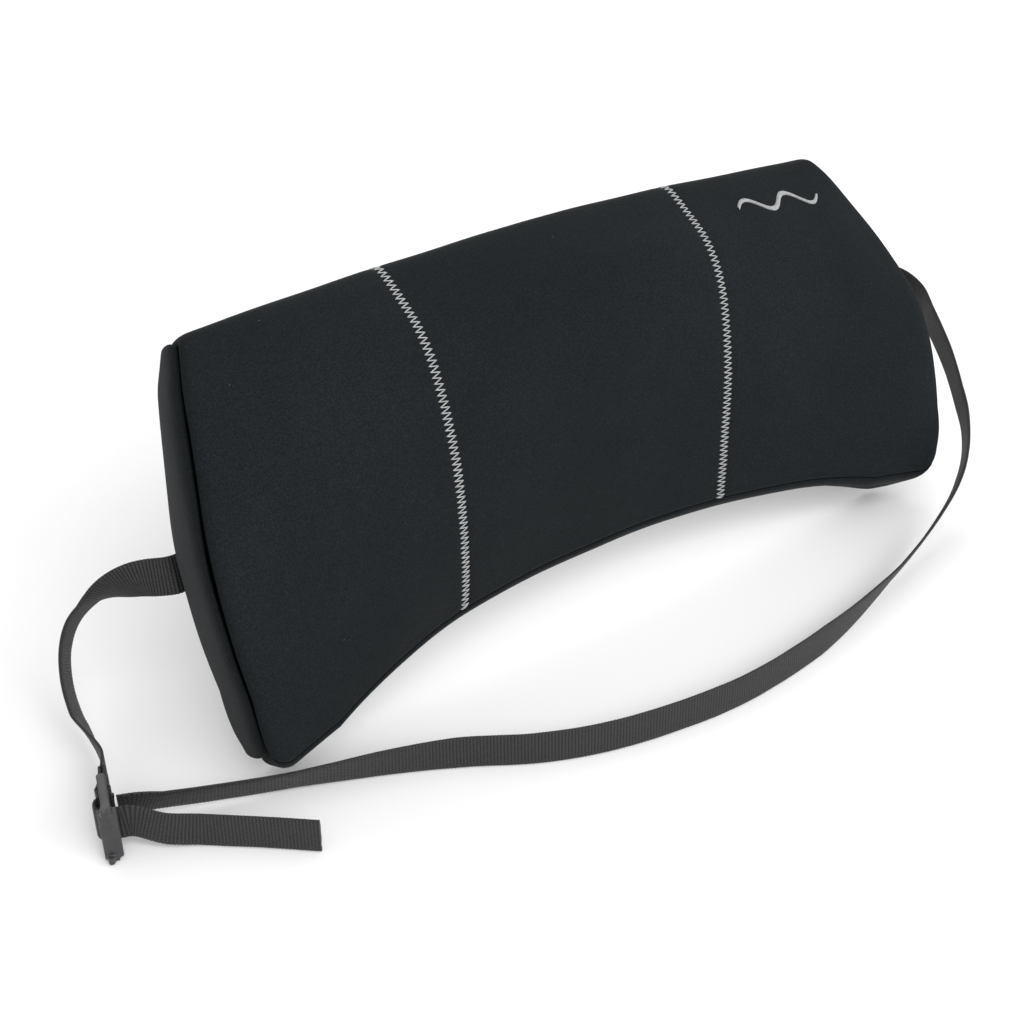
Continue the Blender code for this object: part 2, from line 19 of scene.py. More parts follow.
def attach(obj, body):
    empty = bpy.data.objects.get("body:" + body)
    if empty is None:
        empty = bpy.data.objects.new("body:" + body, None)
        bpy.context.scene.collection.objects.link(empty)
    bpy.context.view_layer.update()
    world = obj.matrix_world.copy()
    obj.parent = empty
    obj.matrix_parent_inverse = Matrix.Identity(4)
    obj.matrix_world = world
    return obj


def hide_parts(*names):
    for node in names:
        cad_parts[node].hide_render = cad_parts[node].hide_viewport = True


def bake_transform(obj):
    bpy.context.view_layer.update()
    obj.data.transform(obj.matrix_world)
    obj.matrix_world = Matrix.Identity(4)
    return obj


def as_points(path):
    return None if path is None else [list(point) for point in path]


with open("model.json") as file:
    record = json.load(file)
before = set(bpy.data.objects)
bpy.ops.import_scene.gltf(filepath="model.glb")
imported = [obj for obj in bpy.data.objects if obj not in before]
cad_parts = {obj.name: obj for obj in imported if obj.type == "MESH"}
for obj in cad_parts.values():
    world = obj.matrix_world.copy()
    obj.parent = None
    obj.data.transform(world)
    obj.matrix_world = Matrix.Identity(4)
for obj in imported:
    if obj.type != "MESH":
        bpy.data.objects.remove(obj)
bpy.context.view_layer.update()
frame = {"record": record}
MM = 0.001

# ---- view ---------------------------------------------------------------------------------------

CAMERA_AT = (-0.3590, -0.4684, 0.4284)      # metres
CAMERA_AZIMUTH = math.radians(-36.63)
CAMERA_ELEVATION = math.radians(30.63)
CAMERA_LENS = 57.28
CAMERA_SHIFT = (-0.0350, -0.0777)


def in_scene(name, data):
    item = bpy.data.objects.new(name, data)
    bpy.context.scene.collection.objects.link(item)
    return item


def make_camera():
    back = Vector((math.sin(CAMERA_AZIMUTH) * math.cos(CAMERA_ELEVATION),
                   -math.cos(CAMERA_AZIMUTH) * math.cos(CAMERA_ELEVATION),
                   math.sin(CAMERA_ELEVATION)))
    data = bpy.data.cameras.new("camera")
    data.lens = CAMERA_LENS
    data.sensor_width = 36.0
    data.shift_x, data.shift_y = CAMERA_SHIFT
    camera = in_scene("camera", data)
    camera.location = CAMERA_AT
    camera.rotation_euler = back.to_track_quat("Z", "Y").to_euler()
    bpy.context.scene.camera = camera


LIGHTS = (("key", (-0.35, -1.25, 1.4), 1.3, 17.0), ("fill", (0.8, -1.3, 0.9), 1.2, 10.0),
          ("back", (0.3, 1.3, 1.2), 1.0, 5.0))      # name, place and size in metres, watts
LIT_POINT = (0.0, 0.0, 0.05)
SKY_STRENGTH = 0.85


def soft_light(name, at, size, watts):
    data = bpy.data.lights.new(name, "AREA")
    data.shape = "DISK"
    data.size = size
    data.energy = watts
    light = in_scene(name, data)
    light.location = at
    light.rotation_euler = (Vector(at) - Vector(LIT_POINT)).to_track_quat("Z", "Y").to_euler()


def make_studio():
    world = bpy.data.worlds.new("studio")
    world.use_nodes = True
    sky = world.node_tree.nodes["Background"].inputs
    sky["Color"].default_value = (1.0, 1.0, 1.0, 1.0)
    sky["Strength"].default_value = SKY_STRENGTH
    bpy.context.scene.world = world
    bpy.context.scene.view_settings.view_transform = "Standard"
    for light in LIGHTS:
        soft_light(*light)


# ---- meshes and materials -----------------------------------------------------------------------

def new_object(name, points, faces, material):
    """One smooth mesh object from points in millimetres."""
    mesh = bpy.data.meshes.new(name)
    mesh.from_pydata((np.asarray(points, float) * MM).tolist(), [], faces)
    mesh.update()
    mesh.shade_smooth()
    mesh.materials.append(material)
    return in_scene(name, mesh)


def point_values(item, name, values):
    attribute = item.data.attributes.new(name, "FLOAT", "POINT")
    attribute.data.foreach_set("value", np.asarray(values, np.float32).ravel())


SHEEN_ROUGHNESS = 0.45


class Surface:
    """A Principled material and short ways to add procedural nodes to it."""

    def __init__(self, name, roughness, sheen=0.0, specular=0.5):
        self.material = bpy.data.materials.new(name)
        self.material.use_nodes = True
        self.tree = self.material.node_tree
        self.shader = self.tree.nodes["Principled BSDF"]
        self.feed(self.shader, {"Roughness": roughness, "Specular IOR Level": specular,
                                "Sheen Weight": sheen, "Sheen Roughness": SHEEN_ROUGHNESS})
        self.place = self.add("ShaderNodeTexCoord").outputs["Object"]

    def feed(self, node, inputs):
        """Links each input that is given a socket, and sets one given a number or a colour."""
        for key, value in inputs.items():
            if isinstance(value, bpy.types.NodeSocket):
                self.tree.links.new(value, node.inputs[key])
            else:
                colour = isinstance(value, tuple)
                node.inputs[key].default_value = (*value, 1.0) if colour else value

    def add(self, kind, inputs=None, **settings):
        node = self.tree.nodes.new(kind)
        for key, value in settings.items():
            setattr(node, key, value)
        self.feed(node, inputs or {})
        return node

    def noise(self, scale, detail=3.0, roughness=0.55):
        inputs = {"Scale": scale, "Detail": detail, "Roughness": roughness, "Vector": self.place}
        return self.add("ShaderNodeTexNoise", inputs).outputs["Fac"]

    def ramp(self, value, stops):
        node = self.add("ShaderNodeValToRGB", {"Fac": value})
        ramp = node.color_ramp
        while len(ramp.elements) < len(stops):
            ramp.elements.new(0.5)
        for element, (at, colour) in zip(ramp.elements, stops):
            element.position = at
            element.color = (*colour, 1.0)
        return node.outputs["Color"]

    def mix(self, factor, first, second, blend="MIX"):
        inputs = {0: factor, 6: first, 7: second}
        return self.add("ShaderNodeMix", inputs, data_type="RGBA", blend_type=blend).outputs[2]

    def math(self, operation, first, second=0.0):
        return self.add("ShaderNodeMath", {0: first, 1: second}, operation=operation).outputs[0]

    def attribute(self, name):
        return self.add("ShaderNodeAttribute", attribute_name=name).outputs["Fac"]

    def bump(self, height, distance, strength, under=None):
        inputs = {"Strength": strength, "Distance": distance, "Height": height}
        if under is not None:
            inputs["Normal"] = under
        return self.add("ShaderNodeBump", inputs).outputs["Normal"]

    def finish(self, colour, normal=None, roughness=None):
        inputs = {"Base Color": colour, "Normal": normal, "Roughness": roughness}
        self.feed(self.shader, {key: value for key, value in inputs.items() if value is not None})
        return self.material


NEOPRENE_SHEEN, NEOPRENE_SPECULAR = 0.03, 0.15
LINT_CELLS, LINT_RADIUS = 140.0, 0.045      # cells in a metre, and a speck's share of one


def neoprene_material():
    """Foam-backed knit: matt blue-black, a fine pile, faint patches, a few specks of lint, and
    painted shade along its seams.
    """
    s = Surface("neoprene_knit", 0.92, sheen=NEOPRENE_SHEEN, specular=NEOPRENE_SPECULAR)
    patches = s.ramp(s.noise(9.0, 4.0), [(0.3, (0.0048, 0.0068, 0.0080)),
                                         (0.7, (0.0078, 0.0104, 0.0120))])
    pile = s.ramp(s.noise(1500.0, 2.0), [(0.35, (0.55, 0.55, 0.55)), (0.7, (1.5, 1.5, 1.5))])
    colour = s.mix(1.0, patches, pile, "MULTIPLY")
    cells = s.add("ShaderNodeTexVoronoi", {"Scale": LINT_CELLS, "Vector": s.place})
    speck = s.math("LESS_THAN", cells.outputs["Distance"], LINT_RADIUS)
    chosen = s.math("GREATER_THAN", s.noise(60.0, 1.0), 0.60)
    lint = s.math("MULTIPLY", speck, chosen)
    colour = s.mix(lint, colour, (0.05, 0.056, 0.058))
    # Painted shade along the seams: near-black colour there, with less specular and sheen.
    painted_seam_shade = s.attribute("painted_seam_shade")
    colour = s.mix(painted_seam_shade, colour, (0.0005, 0.0006, 0.0007))
    outside_seam_shade = s.math("SUBTRACT", 1.0, painted_seam_shade)
    s.feed(s.shader, {"Specular IOR Level": s.math("MULTIPLY", outside_seam_shade, NEOPRENE_SPECULAR),
                      "Sheen Weight": s.math("MULTIPLY", outside_seam_shade, NEOPRENE_SHEEN)})
    knit = s.bump(s.noise(900.0, 3.0, 0.7), 0.00035, 0.55)
    soft = s.bump(s.noise(70.0, 3.0), 0.0008, 0.30, under=knit)
    roughness = s.math("ADD", s.math("MULTIPLY", s.noise(40.0), 0.12), 0.84)
    return s.finish(colour, soft, roughness)


WEAVE_ACROSS, WEAVE_ALONG = 5200.0, 2416.6     # radians in a metre; a rib is half a turn


def webbing_material():
    """Black polypropylene webbing: ribs across it with a diagonal weave on them, painted light on
    the rib crests and raised threads, painted shade between them.
    """
    s = Surface("ribbed_webbing", 0.62, sheen=0.04, specular=0.30)
    rib = s.attribute("rib")
    # Painted shade in the grooves between the ribs and painted light on their crests.
    rib_shading = s.ramp(rib, [(0.0, (0.0018, 0.0018, 0.0020)), (0.55, (0.0095, 0.0095, 0.0102)),
                        (1.0, (0.034, 0.034, 0.036))])
    across = s.math("SINE", s.math("MULTIPLY", s.attribute("across"), WEAVE_ACROSS))
    along = s.math("MULTIPLY", s.attribute("along"), WEAVE_ALONG)
    weave = s.math("MULTIPLY", across, s.math("SINE", s.math("ADD", along, 1.6)))
    raised = s.math("ADD", s.math("MULTIPLY", weave, 0.5), 0.5)
    # Painted light on the weave's raised threads and painted shade on its sunk ones.
    weave_shading = s.ramp(raised, [(0.0, (0.72, 0.72, 0.72)), (1.0, (1.25, 1.25, 1.25))])
    colour = s.mix(1.0, rib_shading, weave_shading, "MULTIPLY")
    fibres = s.ramp(s.noise(2600.0, 2.0), [(0.3, (0.75, 0.75, 0.75)), (0.7, (1.25, 1.25, 1.27))])
    colour = s.mix(1.0, colour, fibres, "MULTIPLY")
    normal = s.bump(weave, 0.00012, 0.8)
    normal = s.bump(s.noise(3000.0, 2.0), 0.0001, 0.5, under=normal)
    return s.finish(colour, normal, s.math("ADD", s.math("MULTIPLY", s.noise(500.0), 0.25), 0.45))


def thread_material(name, dark, light):
    """Twisted polyester thread."""
    s = Surface(name, 0.55, sheen=0.15, specular=0.4)
    colour = s.ramp(s.noise(1800.0, 2.0), [(0.3, dark), (0.7, light)])
    return s.finish(colour, s.bump(s.noise(2600.0, 2.0), 0.0002, 0.6))


def acetal_material():
    """Moulded black plastic with a fine satin grain and paler worn patches."""
    s = Surface("moulded_acetal", 0.42, specular=0.5)
    colour = s.ramp(s.noise(260.0, 4.0), [(0.35, (0.020, 0.020, 0.022)),
                                          (0.75, (0.034, 0.034, 0.037))])
    scuffed = s.ramp(s.noise(900.0, 2.0), [(0.66, (0.0, 0.0, 0.0)), (0.74, (0.35, 0.35, 0.35))])
    colour = s.mix(scuffed, colour, (0.09, 0.09, 0.095))
    normal = s.bump(s.noise(4200.0, 2.0), 0.00006, 0.45)
    return s.finish(colour, normal, s.math("ADD", s.math("MULTIPLY", s.noise(300.0), 0.16), 0.32))


# ---- webbing ------------------------------------------------------------------------------------

WEB_WIDTH = 15.0
WEB_THICK = 1.3
WEB_LIFT = 7.9
RIB_PITCH = 1.3
RIB_HEIGHT = 0.22
WEB_SPACING = RIB_PITCH / 4     # a rib takes four rows of the mesh

REAR = frame["record"]["mounts"][0]
REAR_POINT = np.array(REAR["pos_m"]) / MM
OUT_OF_REAR = np.array(REAR["axis"])
ALONG_REAR = np.array([0.0, -OUT_OF_REAR[2], OUT_OF_REAR[1]])
UP = Vector((0.0, 0.0, 1.0))
ALONG_BACK = Vector(ALONG_REAR)

FOOT_OUTER = 165.0
FOOT_LENGTH = 40.0
FOOT_OUT = 0.95
FOOT_CLEAR = 2.0
LOOP_LENGTH = 12.0
GAP = 0.3

LOCK_WIDTH = 25.0
LOCK_MID = 12.9
LOCK_PLACE = (-227.9, -28.1)
LOCK_HEADING = math.radians(253.1)
LOOP_BAR_AT = -7.8
SLOT_IN_AT = -3.6
SLOT_OUT_AT = 3.9
STRAP_MOUTH = 4.2
TAB_AT = 8.4
BAR_RADIUS = 1.25
LOCK_ALONG = Vector((math.cos(LOCK_HEADING), math.sin(LOCK_HEADING), 0.0))
LOCK_SIDE = UP.cross(LOCK_ALONG)

SHORT_LEAN = Vector((-0.45, -0.62, 0.64))
LONG_LEAN = Vector((-0.35, -0.50, 0.79))
FRONT_LEAN = Vector((-0.10, -0.45, 0.89))

SHORT_ROUTE = [(-176.0, 16.7, 70.6), (-186.0, 26.9, 67.0), (-196.0, 37.9, 58.0),
               (-204.5, 44.4, 47.0), (-210.5, 43.9, 36.0), (-214.5, 36.9, 26.0),
               (-216.5, 25.9, 18.5), (-216.5, 13.9, 14.5), (-217.3, 0.4, 13.0)]

LONG_ROUTE = [(176.0, 16.7, 72.5), (190.0, 28.9, 73.5), (206.0, 38.9, 75.0), (221.0, 37.9, 75.5),
              (229.5, 25.9, 74.5), (228.0, 9.9, 72.0), (220.0, -6.1, 67.0), (210.0, -26.1, 59.0),
              (201.0, -42.1, 50.0), (194.0, -54.1, 41.0), (184.0, -64.1, 32.0),
              (170.0, -72.1, 23.5), (152.0, -78.1, 16.0), (130.0, -84.6, 11.0),
              (102.0, -92.6, 8.6), (70.0, -100.6, WEB_LIFT), (38.0, -105.6, WEB_LIFT),
              (5.0, -107.1, WEB_LIFT), (-28.0, -103.1, WEB_LIFT), (-56.0, -96.1, WEB_LIFT),
              (-80.0, -85.6, WEB_LIFT), (-104.0, -70.6, WEB_LIFT), (-127.0, -59.6, WEB_LIFT),
              (-150.0, -50.6, WEB_LIFT), (-172.0, -42.1, 8.0), (-193.0, -34.1, 9.0),
              (-206.0, -29.9, 10.6)]

TAIL_ROUTE = [(-212.5, -42.9, 10.0), (-202.3, -48.7, 8.2), (-193.9, -55.4, WEB_LIFT),
              (-186.0, -62.0, WEB_LIFT), (-177.8, -69.2, WEB_LIFT), (-169.1, -77.0, WEB_LIFT)]


def clipped(values):
    """Values held between 0 and 1."""
    return np.clip(values, 0.0, 1.0)


def to_world(places):
    """World points, in millimetres, of places (x, t, z) on the cushion."""
    places = np.asarray(places, float)
    return (REAR_POINT + places[..., 0:1] * np.array([1.0, 0.0, 0.0])
            - places[..., 1:2] * OUT_OF_REAR + places[..., 2:3] * ALONG_REAR)


def behind(x, out, z):
    return Vector(to_world(np.array([x, -out, z])))


def lock_point(along, out, z=0.0):
    return Vector((*LOCK_PLACE, LOCK_MID + z)) + LOCK_ALONG * along + LOCK_SIDE * out


def line_at(marks, stations, places):
    """Rows of places, known at the stations, found at the marks."""
    columns = np.array(places).T
    return np.stack([np.interp(marks, stations, column) for column in columns], axis=-1)


def distances(points):
    steps = [(q - p).length for p, q in zip(points, points[1:])]
    return np.concatenate([[0.0], np.cumsum(steps)])


def smooth_route(points):
    """Even points along a Catmull-Rom curve through the route's own points."""
    route = [Vector(p) for p in points]
    route = [route[0] * 2 - route[1]] + route + [route[-1] * 2 - route[-2]]
    dense = []
    for a, b, c, d in zip(route, route[1:], route[2:], route[3:]):
        for k in range(24):
            f = k / 24
            dense.append(0.5 * ((2 * b) + (c - a) * f + (2 * a - 5 * b + 4 * c - d) * f * f
                                + (3 * b - a - 3 * c + d) * f ** 3))
    dense.append(route[-2])
    lengths = distances(dense)
    count = max(2, int(round(lengths[-1] / WEB_SPACING)) + 1)
    return [Vector(p) for p in line_at(np.linspace(0.0, lengths[-1], count), lengths, dense)]


def turning(points, turns):
    """Directions across a strap that turns on its way; turns are (distance along it, direction)."""
    marks, ways = zip(*turns)
    return [Vector(p).normalized() for p in line_at(distances(points), marks, ways)]


def rear_exit(side, height):
    return [behind(side * (FOOT_OUTER + FOOT_CLEAR), FOOT_OUT + 0.2, 0.0),
            behind(side * (FOOT_OUTER + 6.0), FOOT_OUT + 1.6, height)]


def loop_way():
    bar = lock_point(LOOP_BAR_AT, 0.0)
    return (Vector((*SHORT_ROUTE[-1][:2], bar.z)) - bar).normalized()


def short_path():
    stop = lock_point(LOOP_BAR_AT, 0.0) + loop_way() * (LOOP_LENGTH + GAP)
    points = smooth_route(rear_exit(-1, -0.4) + SHORT_ROUTE + [stop])
    turns = [(16.0, ALONG_BACK), (48.0, SHORT_LEAN), (100.0, SHORT_LEAN), (125.0, UP)]
    return points, turning(points, turns)


def long_path():
    mouth = [lock_point(SLOT_IN_AT, 10.0), lock_point(SLOT_IN_AT, STRAP_MOUTH)]
    points = smooth_route(rear_exit(1, 0.1) + LONG_ROUTE + mouth)
    turns = [(16.0, ALONG_BACK), (60.0, UP), (150.0, UP), (200.0, LONG_LEAN), (270.0, LONG_LEAN),
             (330.0, UP), (500.0, UP), (560.0, FRONT_LEAN), (610.0, FRONT_LEAN), (635.0, UP)]
    return points, turning(points, turns)


def tail_path():
    turn = [lock_point(SLOT_IN_AT, STRAP_MOUTH - 3 * GAP), lock_point(SLOT_IN_AT, 0.0)]
    centre, radius = (SLOT_IN_AT + SLOT_OUT_AT) / 2, (SLOT_OUT_AT - SLOT_IN_AT) / 2
    for k in range(1, 8):
        angle = math.pi * k / 8
        out = -0.6 - radius * 0.9 * math.sin(angle)
        turn.append(lock_point(centre - radius * math.cos(angle), out))
    turn += [lock_point(SLOT_OUT_AT, 0.0), lock_point(SLOT_OUT_AT + 0.2, STRAP_MOUTH)]
    away = [lock_point(SLOT_OUT_AT + 1.4, 9.0)]
    points = smooth_route(turn + away + TAIL_ROUTE)
    return points, [UP] * len(points)


def fold_path():
    """The short strap's end, folded round the loop bar."""
    bar = lock_point(LOOP_BAR_AT, 0.0)
    way = loop_way()
    side = UP.cross(way)
    clear = BAR_RADIUS + 0.45 + WEB_THICK / 2
    close = (WEB_THICK + GAP) / 2
    points = [bar + way * LOOP_LENGTH + side * close, bar + way * 5.5 + side * close * 1.2]
    for k in range(9):
        angle = math.radians(50 + 260 * k / 8)
        points.append(bar + way * math.cos(angle) * clear + side * math.sin(angle) * clear)
    points += [bar + way * 5.5 - side * close * 1.2, bar + way * LOOP_LENGTH - side * close]
    points = smooth_route(points)
    return points, [UP] * len(points)


# One face of the webbing's section: (share of the width, share of half the thickness)
WEB_PROFILE = [(-0.5, 0.0), (-0.488, 0.62), (-0.46, 0.95), (-0.3, 1.0), (-0.1, 1.0), (0.1, 1.0),
               (0.3, 1.0), (0.46, 0.95), (0.488, 0.62), (0.5, 0.0)]
WAVER_EVERY = 8.0           # the webbing's width wavers by WAVER over this distance
WAVER = 0.10
EDGE_DRAW = 0.35            # how much narrower the webbing is between two ribs


def webbing(name, path, ragged=0.0):
    """Ribbed webbing along a path of closely spaced points, four to a rib."""
    points, ways = path
    walked = distances(points)
    last = len(points) - 1
    loop = WEB_PROFILE + [(a, -share) for a, share in reversed(WEB_PROFILE[1:-1])]
    rng = np.random.default_rng(7)
    stations = np.arange(0.0, walked[-1] + WAVER_EVERY + 1.0, WAVER_EVERY)
    waver = np.interp(walked, stations, rng.normal(0.0, WAVER, len(stations)))
    verts, ribs, alongs, acrosses = [], [], [], []
    for k, p in enumerate(points):
        tangent = (points[min(k + 1, last)] - points[max(k - 1, 0)]).normalized()
        wide = (ways[k] - tangent * ways[k].dot(tangent)).normalized()
        face = tangent.cross(wide)
        rib = abs(math.sin(math.pi * walked[k] / RIB_PITCH)) ** 0.7
        half = WEB_THICK / 2 - RIB_HEIGHT * (1.0 - rib)
        span = WEB_WIDTH - EDGE_DRAW * (1.0 - rib) + waver[k]
        fray = ragged * rng.uniform(-1.0, 1.0, len(loop)) if k in (0, last) else np.zeros(len(loop))
        for j, (a, share) in enumerate(loop):
            verts.append(p + wide * (span * a) + face * (half * share) + tangent * float(fray[j]))
            ribs.append(rib)
            alongs.append(walked[k] * MM)
            acrosses.append(a * WEB_WIDTH * MM)
    size = len(loop)
    faces = []
    for k in range(last):
        for j in range(size):
            n = (j + 1) % size
            faces.append((k * size + j, k * size + n, (k + 1) * size + n, (k + 1) * size + j))
    for ring, flip in ((0, False), (last, True)):
        order = [ring * size + j for j in range(size)]
        for j in range(len(WEB_PROFILE) - 1):
            lower = [order[j], order[j + 1], order[(size - j - 1) % size], order[(size - j) % size]]
            lower = list(dict.fromkeys(lower))
            if len(lower) > 2:
                faces.append(tuple(lower if flip else reversed(lower)))
    item = new_object(name, verts, faces, WEBBING)
    for word, values in (("rib", ribs), ("along", alongs), ("across", acrosses)):
        point_values(item, word, values)
    return item


make_camera()
make_studio()
NEOPRENE = neoprene_material()
WEBBING = webbing_material()
GREY_THREAD = thread_material("grey_thread", (0.24, 0.245, 0.25), (0.42, 0.425, 0.43))
BLACK_THREAD = thread_material("black_thread", (0.010, 0.010, 0.011), (0.030, 0.030, 0.032))
ACETAL = acetal_material()


# ---- the cushion's form -------------------------------------------------------------------------

END_HEIGHT = 163.0
BOTTOM_ARCH = 27.5
ARCH_END = 0.93
ARCH_POWER = 2.3
CORNER_RISE = 7.0
HEAD_HEIGHT = 82.4          # height of the upper edge at the ends above the middle of the rear face
TOP_CROWN = 7.6
TOP_CROWN_POWER = 1.3
TOP_FALL = 5.0              # fall of the top face from front to back
END_SLANT = 0.12            # narrowing of an end for each millimetre towards the back
FOOT_RADIUS = 6.5
UNDERSIDE_RISE = 5.0        # rise of the underside towards the front, near the ends
UNDERSIDE_RISE_FROM = 0.8
UNDERSIDE_REACH = 0.35      # height share where that rise has faded out
SEAM_SPAN = 0.385
SEAM_MARK = -0.3
REAR_SEAM_INSET = 0.055     # marks between the rear panel's seam and the cushion's edge
CORNER_SOFTNESS = 3.0       # rounding of the section's corners
OUTLINE_STEPS, SOFT_STEPS = 1200, 800   # points round a section, before and after that

# At each share of the height: half the width, the thickness in the middle, and how much thicker the
# ends are than the middle.
WIDTHS = ((0.0, 171.5), (0.094, 176.0), (0.22, 178.5), (0.4, 179.4), (0.55, 177.4), (0.67, 173.0),
          (0.75, 169.6), (0.82, 166.4), (0.88, 163.7), (0.97, 158.5), (1.0, 156.5))
HALF_WIDTH = max(width for _, width in WIDTHS)
THICKNESS = ((0.0, 9.5), (0.16, 21.0), (0.30, 31.6), (0.405, 38.8), (0.51, 43.6), (0.62, 46.9),
             (0.70, 47.5), (0.76, 46.6), (0.83, 43.8), (0.905, 38.0), (0.95, 34.5), (1.0, 29.5))
END_THICKER = ((0.0, 29.0), (0.12, 27.0), (0.27, 20.0), (0.40, 13.0), (0.53, 7.0), (0.65, 0.0),
               (0.76, -4.0), (0.85, -5.5), (0.92, -4.0), (1.0, -3.0))
FOOT_SCALE, REAR_SCALE = 10.2, 81.5     # millimetres in a mark, at the lower edge and the rear


def curve(table, share):
    """A smooth curve through a table of (share, value)."""
    places, values = np.array(table).T
    slopes = np.gradient(values, places)
    share = np.clip(share, places[0], places[-1])
    k = np.clip(np.searchsorted(places, share, side="right") - 1, 0, len(places) - 2)
    step = places[k + 1] - places[k]
    f = (share - places[k]) / step
    return (values[k] * (1 + 2 * f) * (1 - f) ** 2 + values[k + 1] * f * f * (3 - 2 * f)
            + step * (slopes[k] * f * (1 - f) ** 2 - slopes[k + 1] * f * f * (1 - f)))


def depth(u, share):
    """Distance of the front face from the flat rear face, above the rounded lower edge."""
    return curve(THICKNESS, share) + curve(END_THICKER, share) * u * u


def edge_heights(u):
    """Lower and upper edge of the section at u, measured along the rear face from its middle."""
    arch = 1.0 - min(abs(u) / ARCH_END, 1.0) ** ARCH_POWER
    corner = max(0.0, (abs(u) - ARCH_END) / (1.0 - ARCH_END)) ** 2
    low = -END_HEIGHT / 2 + BOTTOM_ARCH * arch + CORNER_RISE * corner
    return low, HEAD_HEIGHT + TOP_CROWN * (1.0 - abs(u) ** TOP_CROWN_POWER)


def x_of(u, width):
    """Straight upright lines out to the two seams, then lines that spread with the width."""
    inner = SEAM_SPAN * HALF_WIDTH
    outer = (max(abs(u), SEAM_SPAN) - SEAM_SPAN) / (1.0 - SEAM_SPAN)
    return math.copysign(1.0, u) * (min(abs(u), SEAM_SPAN) * HALF_WIDTH + outer * (width - inner))


def height_share(marks, foot_share):
    """Share of the section's height at each front mark, from the lower edge to the top."""
    turn = clipped(marks + 1.0) * math.pi / 2
    foot = foot_share * (1.0 - np.cos(turn))
    return np.where(marks < 0.0, foot, foot_share + (1.0 - foot_share) * clipped(marks))


def sharp_outline(u, marks):
    """Points (x, t, z) round the closed section at u, before its corners are softened."""
    low, high = edge_heights(u)
    foot_share = FOOT_RADIUS / (high - low)
    flat = float(depth(u, foot_share)) - FOOT_RADIUS
    head = float(depth(u, 1.0))
    turn = clipped(marks + 1.0) * math.pi / 2
    share = height_share(marks, foot_share)
    back = clipped(marks - 1.0)
    t = np.where(marks <= -1.0, flat * (marks + 2.0), flat + FOOT_RADIUS * np.sin(turn))
    t = np.where(marks > 0.0, depth(u, share), t)
    t = np.where(marks > 1.0, head * (1.0 - back), t)
    z = low + (high - low) * share - TOP_FALL * back ** 1.6
    behind_top = low + (high - TOP_FALL - low) * (4.0 - marks) / 2.0
    z = np.where(marks > 2.0, behind_top, z)
    near_end = clipped((abs(u) - UNDERSIDE_RISE_FROM) / (ARCH_END - UNDERSIDE_RISE_FROM))
    low_down = clipped(1.0 - share / UNDERSIDE_REACH) ** 2
    z = z + UNDERSIDE_RISE * near_end * clipped(t / flat) * low_down
    share = clipped((z - low) / (high - low))
    width = curve(WIDTHS, share) - END_SLANT * np.maximum(depth(u, share) - t, 0.0)
    return np.stack([x_of(u, width), t, z], axis=1)


def soft_outline(u, marks):
    """The section at u with its corners softened, sampled at the given marks."""
    dense = np.linspace(-2.0, 4.0, OUTLINE_STEPS, endpoint=False)
    sharp = sharp_outline(u, dense)
    steps = np.linalg.norm(np.roll(sharp, -1, axis=0) - sharp, axis=1)
    walked = np.concatenate([[0.0], np.cumsum(steps)])
    closed = np.vstack([sharp, sharp[:1]])
    even = np.linspace(0.0, walked[-1], SOFT_STEPS, endpoint=False)
    ring = line_at(even, walked, closed)
    spacing = walked[-1] / SOFT_STEPS
    reach = int(3 * CORNER_SOFTNESS / spacing)
    shifts = np.arange(-reach, reach + 1)
    kernel = np.exp(-0.5 * (shifts * spacing / CORNER_SOFTNESS) ** 2)
    kernel /= kernel.sum()
    soft = sum(weight * np.roll(ring, shift, axis=0) for weight, shift in zip(kernel, shifts))
    at = np.interp(marks, np.append(dense, 4.0), walked)
    return line_at(at, np.append(even, walked[-1]), np.vstack([soft, soft[:1]]))


LEFT_SEAM_SHIFT = -0.009    # how far to the right each seam lies, as a share of the half width
RIGHT_SEAM_SHIFT = -0.038
RIGHT_SEAM_LEAN = 0.045     # how much further outwards the right seam is at the top
LEAN_FROM, LEAN_OVER = 0.15, 0.75   # marks where that starts, and over which it grows
SHIFT_REACH = 0.22


def seam_shift(marks):
    """How far the right upright seam strays outwards, more towards the top."""
    rise = clipped((marks - LEAN_FROM) / LEAN_OVER) * clipped(3.0 - marks)
    return RIGHT_SEAM_LEAN * rise * rise * (3.0 - 2.0 * rise)


EVEN_SHARE = 0.15           # weight of even spacing among an end's cross lines


def across_share(front):
    """Share of the rear face's height straight across an end from each front mark."""
    even = (front + 2.0) / 4.0
    return ((1.0 - EVEN_SHARE) * height_share(front, FOOT_RADIUS / END_HEIGHT)
            + EVEN_SHARE * even)


def ring_marks(front):
    """Marks once round the section: the front ones, then those straight across from them behind."""
    return np.concatenate([front, 4.0 - 2.0 * across_share(front)[-2:0:-1]])


def form(columns, marks):
    """Grid of places (x, t, z) for every column and mark."""
    grid = np.array([soft_outline(float(u), marks) for u in columns])
    across = np.asarray(columns)[:, None]
    near_right = np.exp(-((across - SEAM_SPAN) / SHIFT_REACH) ** 2)
    near_left = np.exp(-((across + SEAM_SPAN) / SHIFT_REACH) ** 2)
    right_shift = RIGHT_SEAM_SHIFT + seam_shift(marks)[None, :]
    grid[:, :, 0] += (right_shift * near_right + LEFT_SEAM_SHIFT * near_left) * HALF_WIDTH
    return grid


FILLING = 1.028             # the filled cover is drawn in at its ends, so it starts wider
TOP_LIFT = 3.2              # rise of the upper edge
TOP_LEAN = 0.012            # and its fall for each millimetre to the right
TOP_FROM, TOP_OVER = -20.0, 100.0   # heights where the rise starts, and over which it grows
FOOT_DROP = 2.2             # the lower edge hangs this much lower in the middle
DROP_OVER = 50.0            # height over which that grows, downwards from the rear face's middle
DROP_REACH = 170.0          # distance from the middle where that has faded out
FOOT_SPREAD = 0.024         # the feet stand this share wider apart
SPREAD_FROM, SPREAD_OVER = 45.0, 35.0   # how far down that starts, and over what it grows
END_SHIFT = 1.8             # the filled block lies this much further to the right


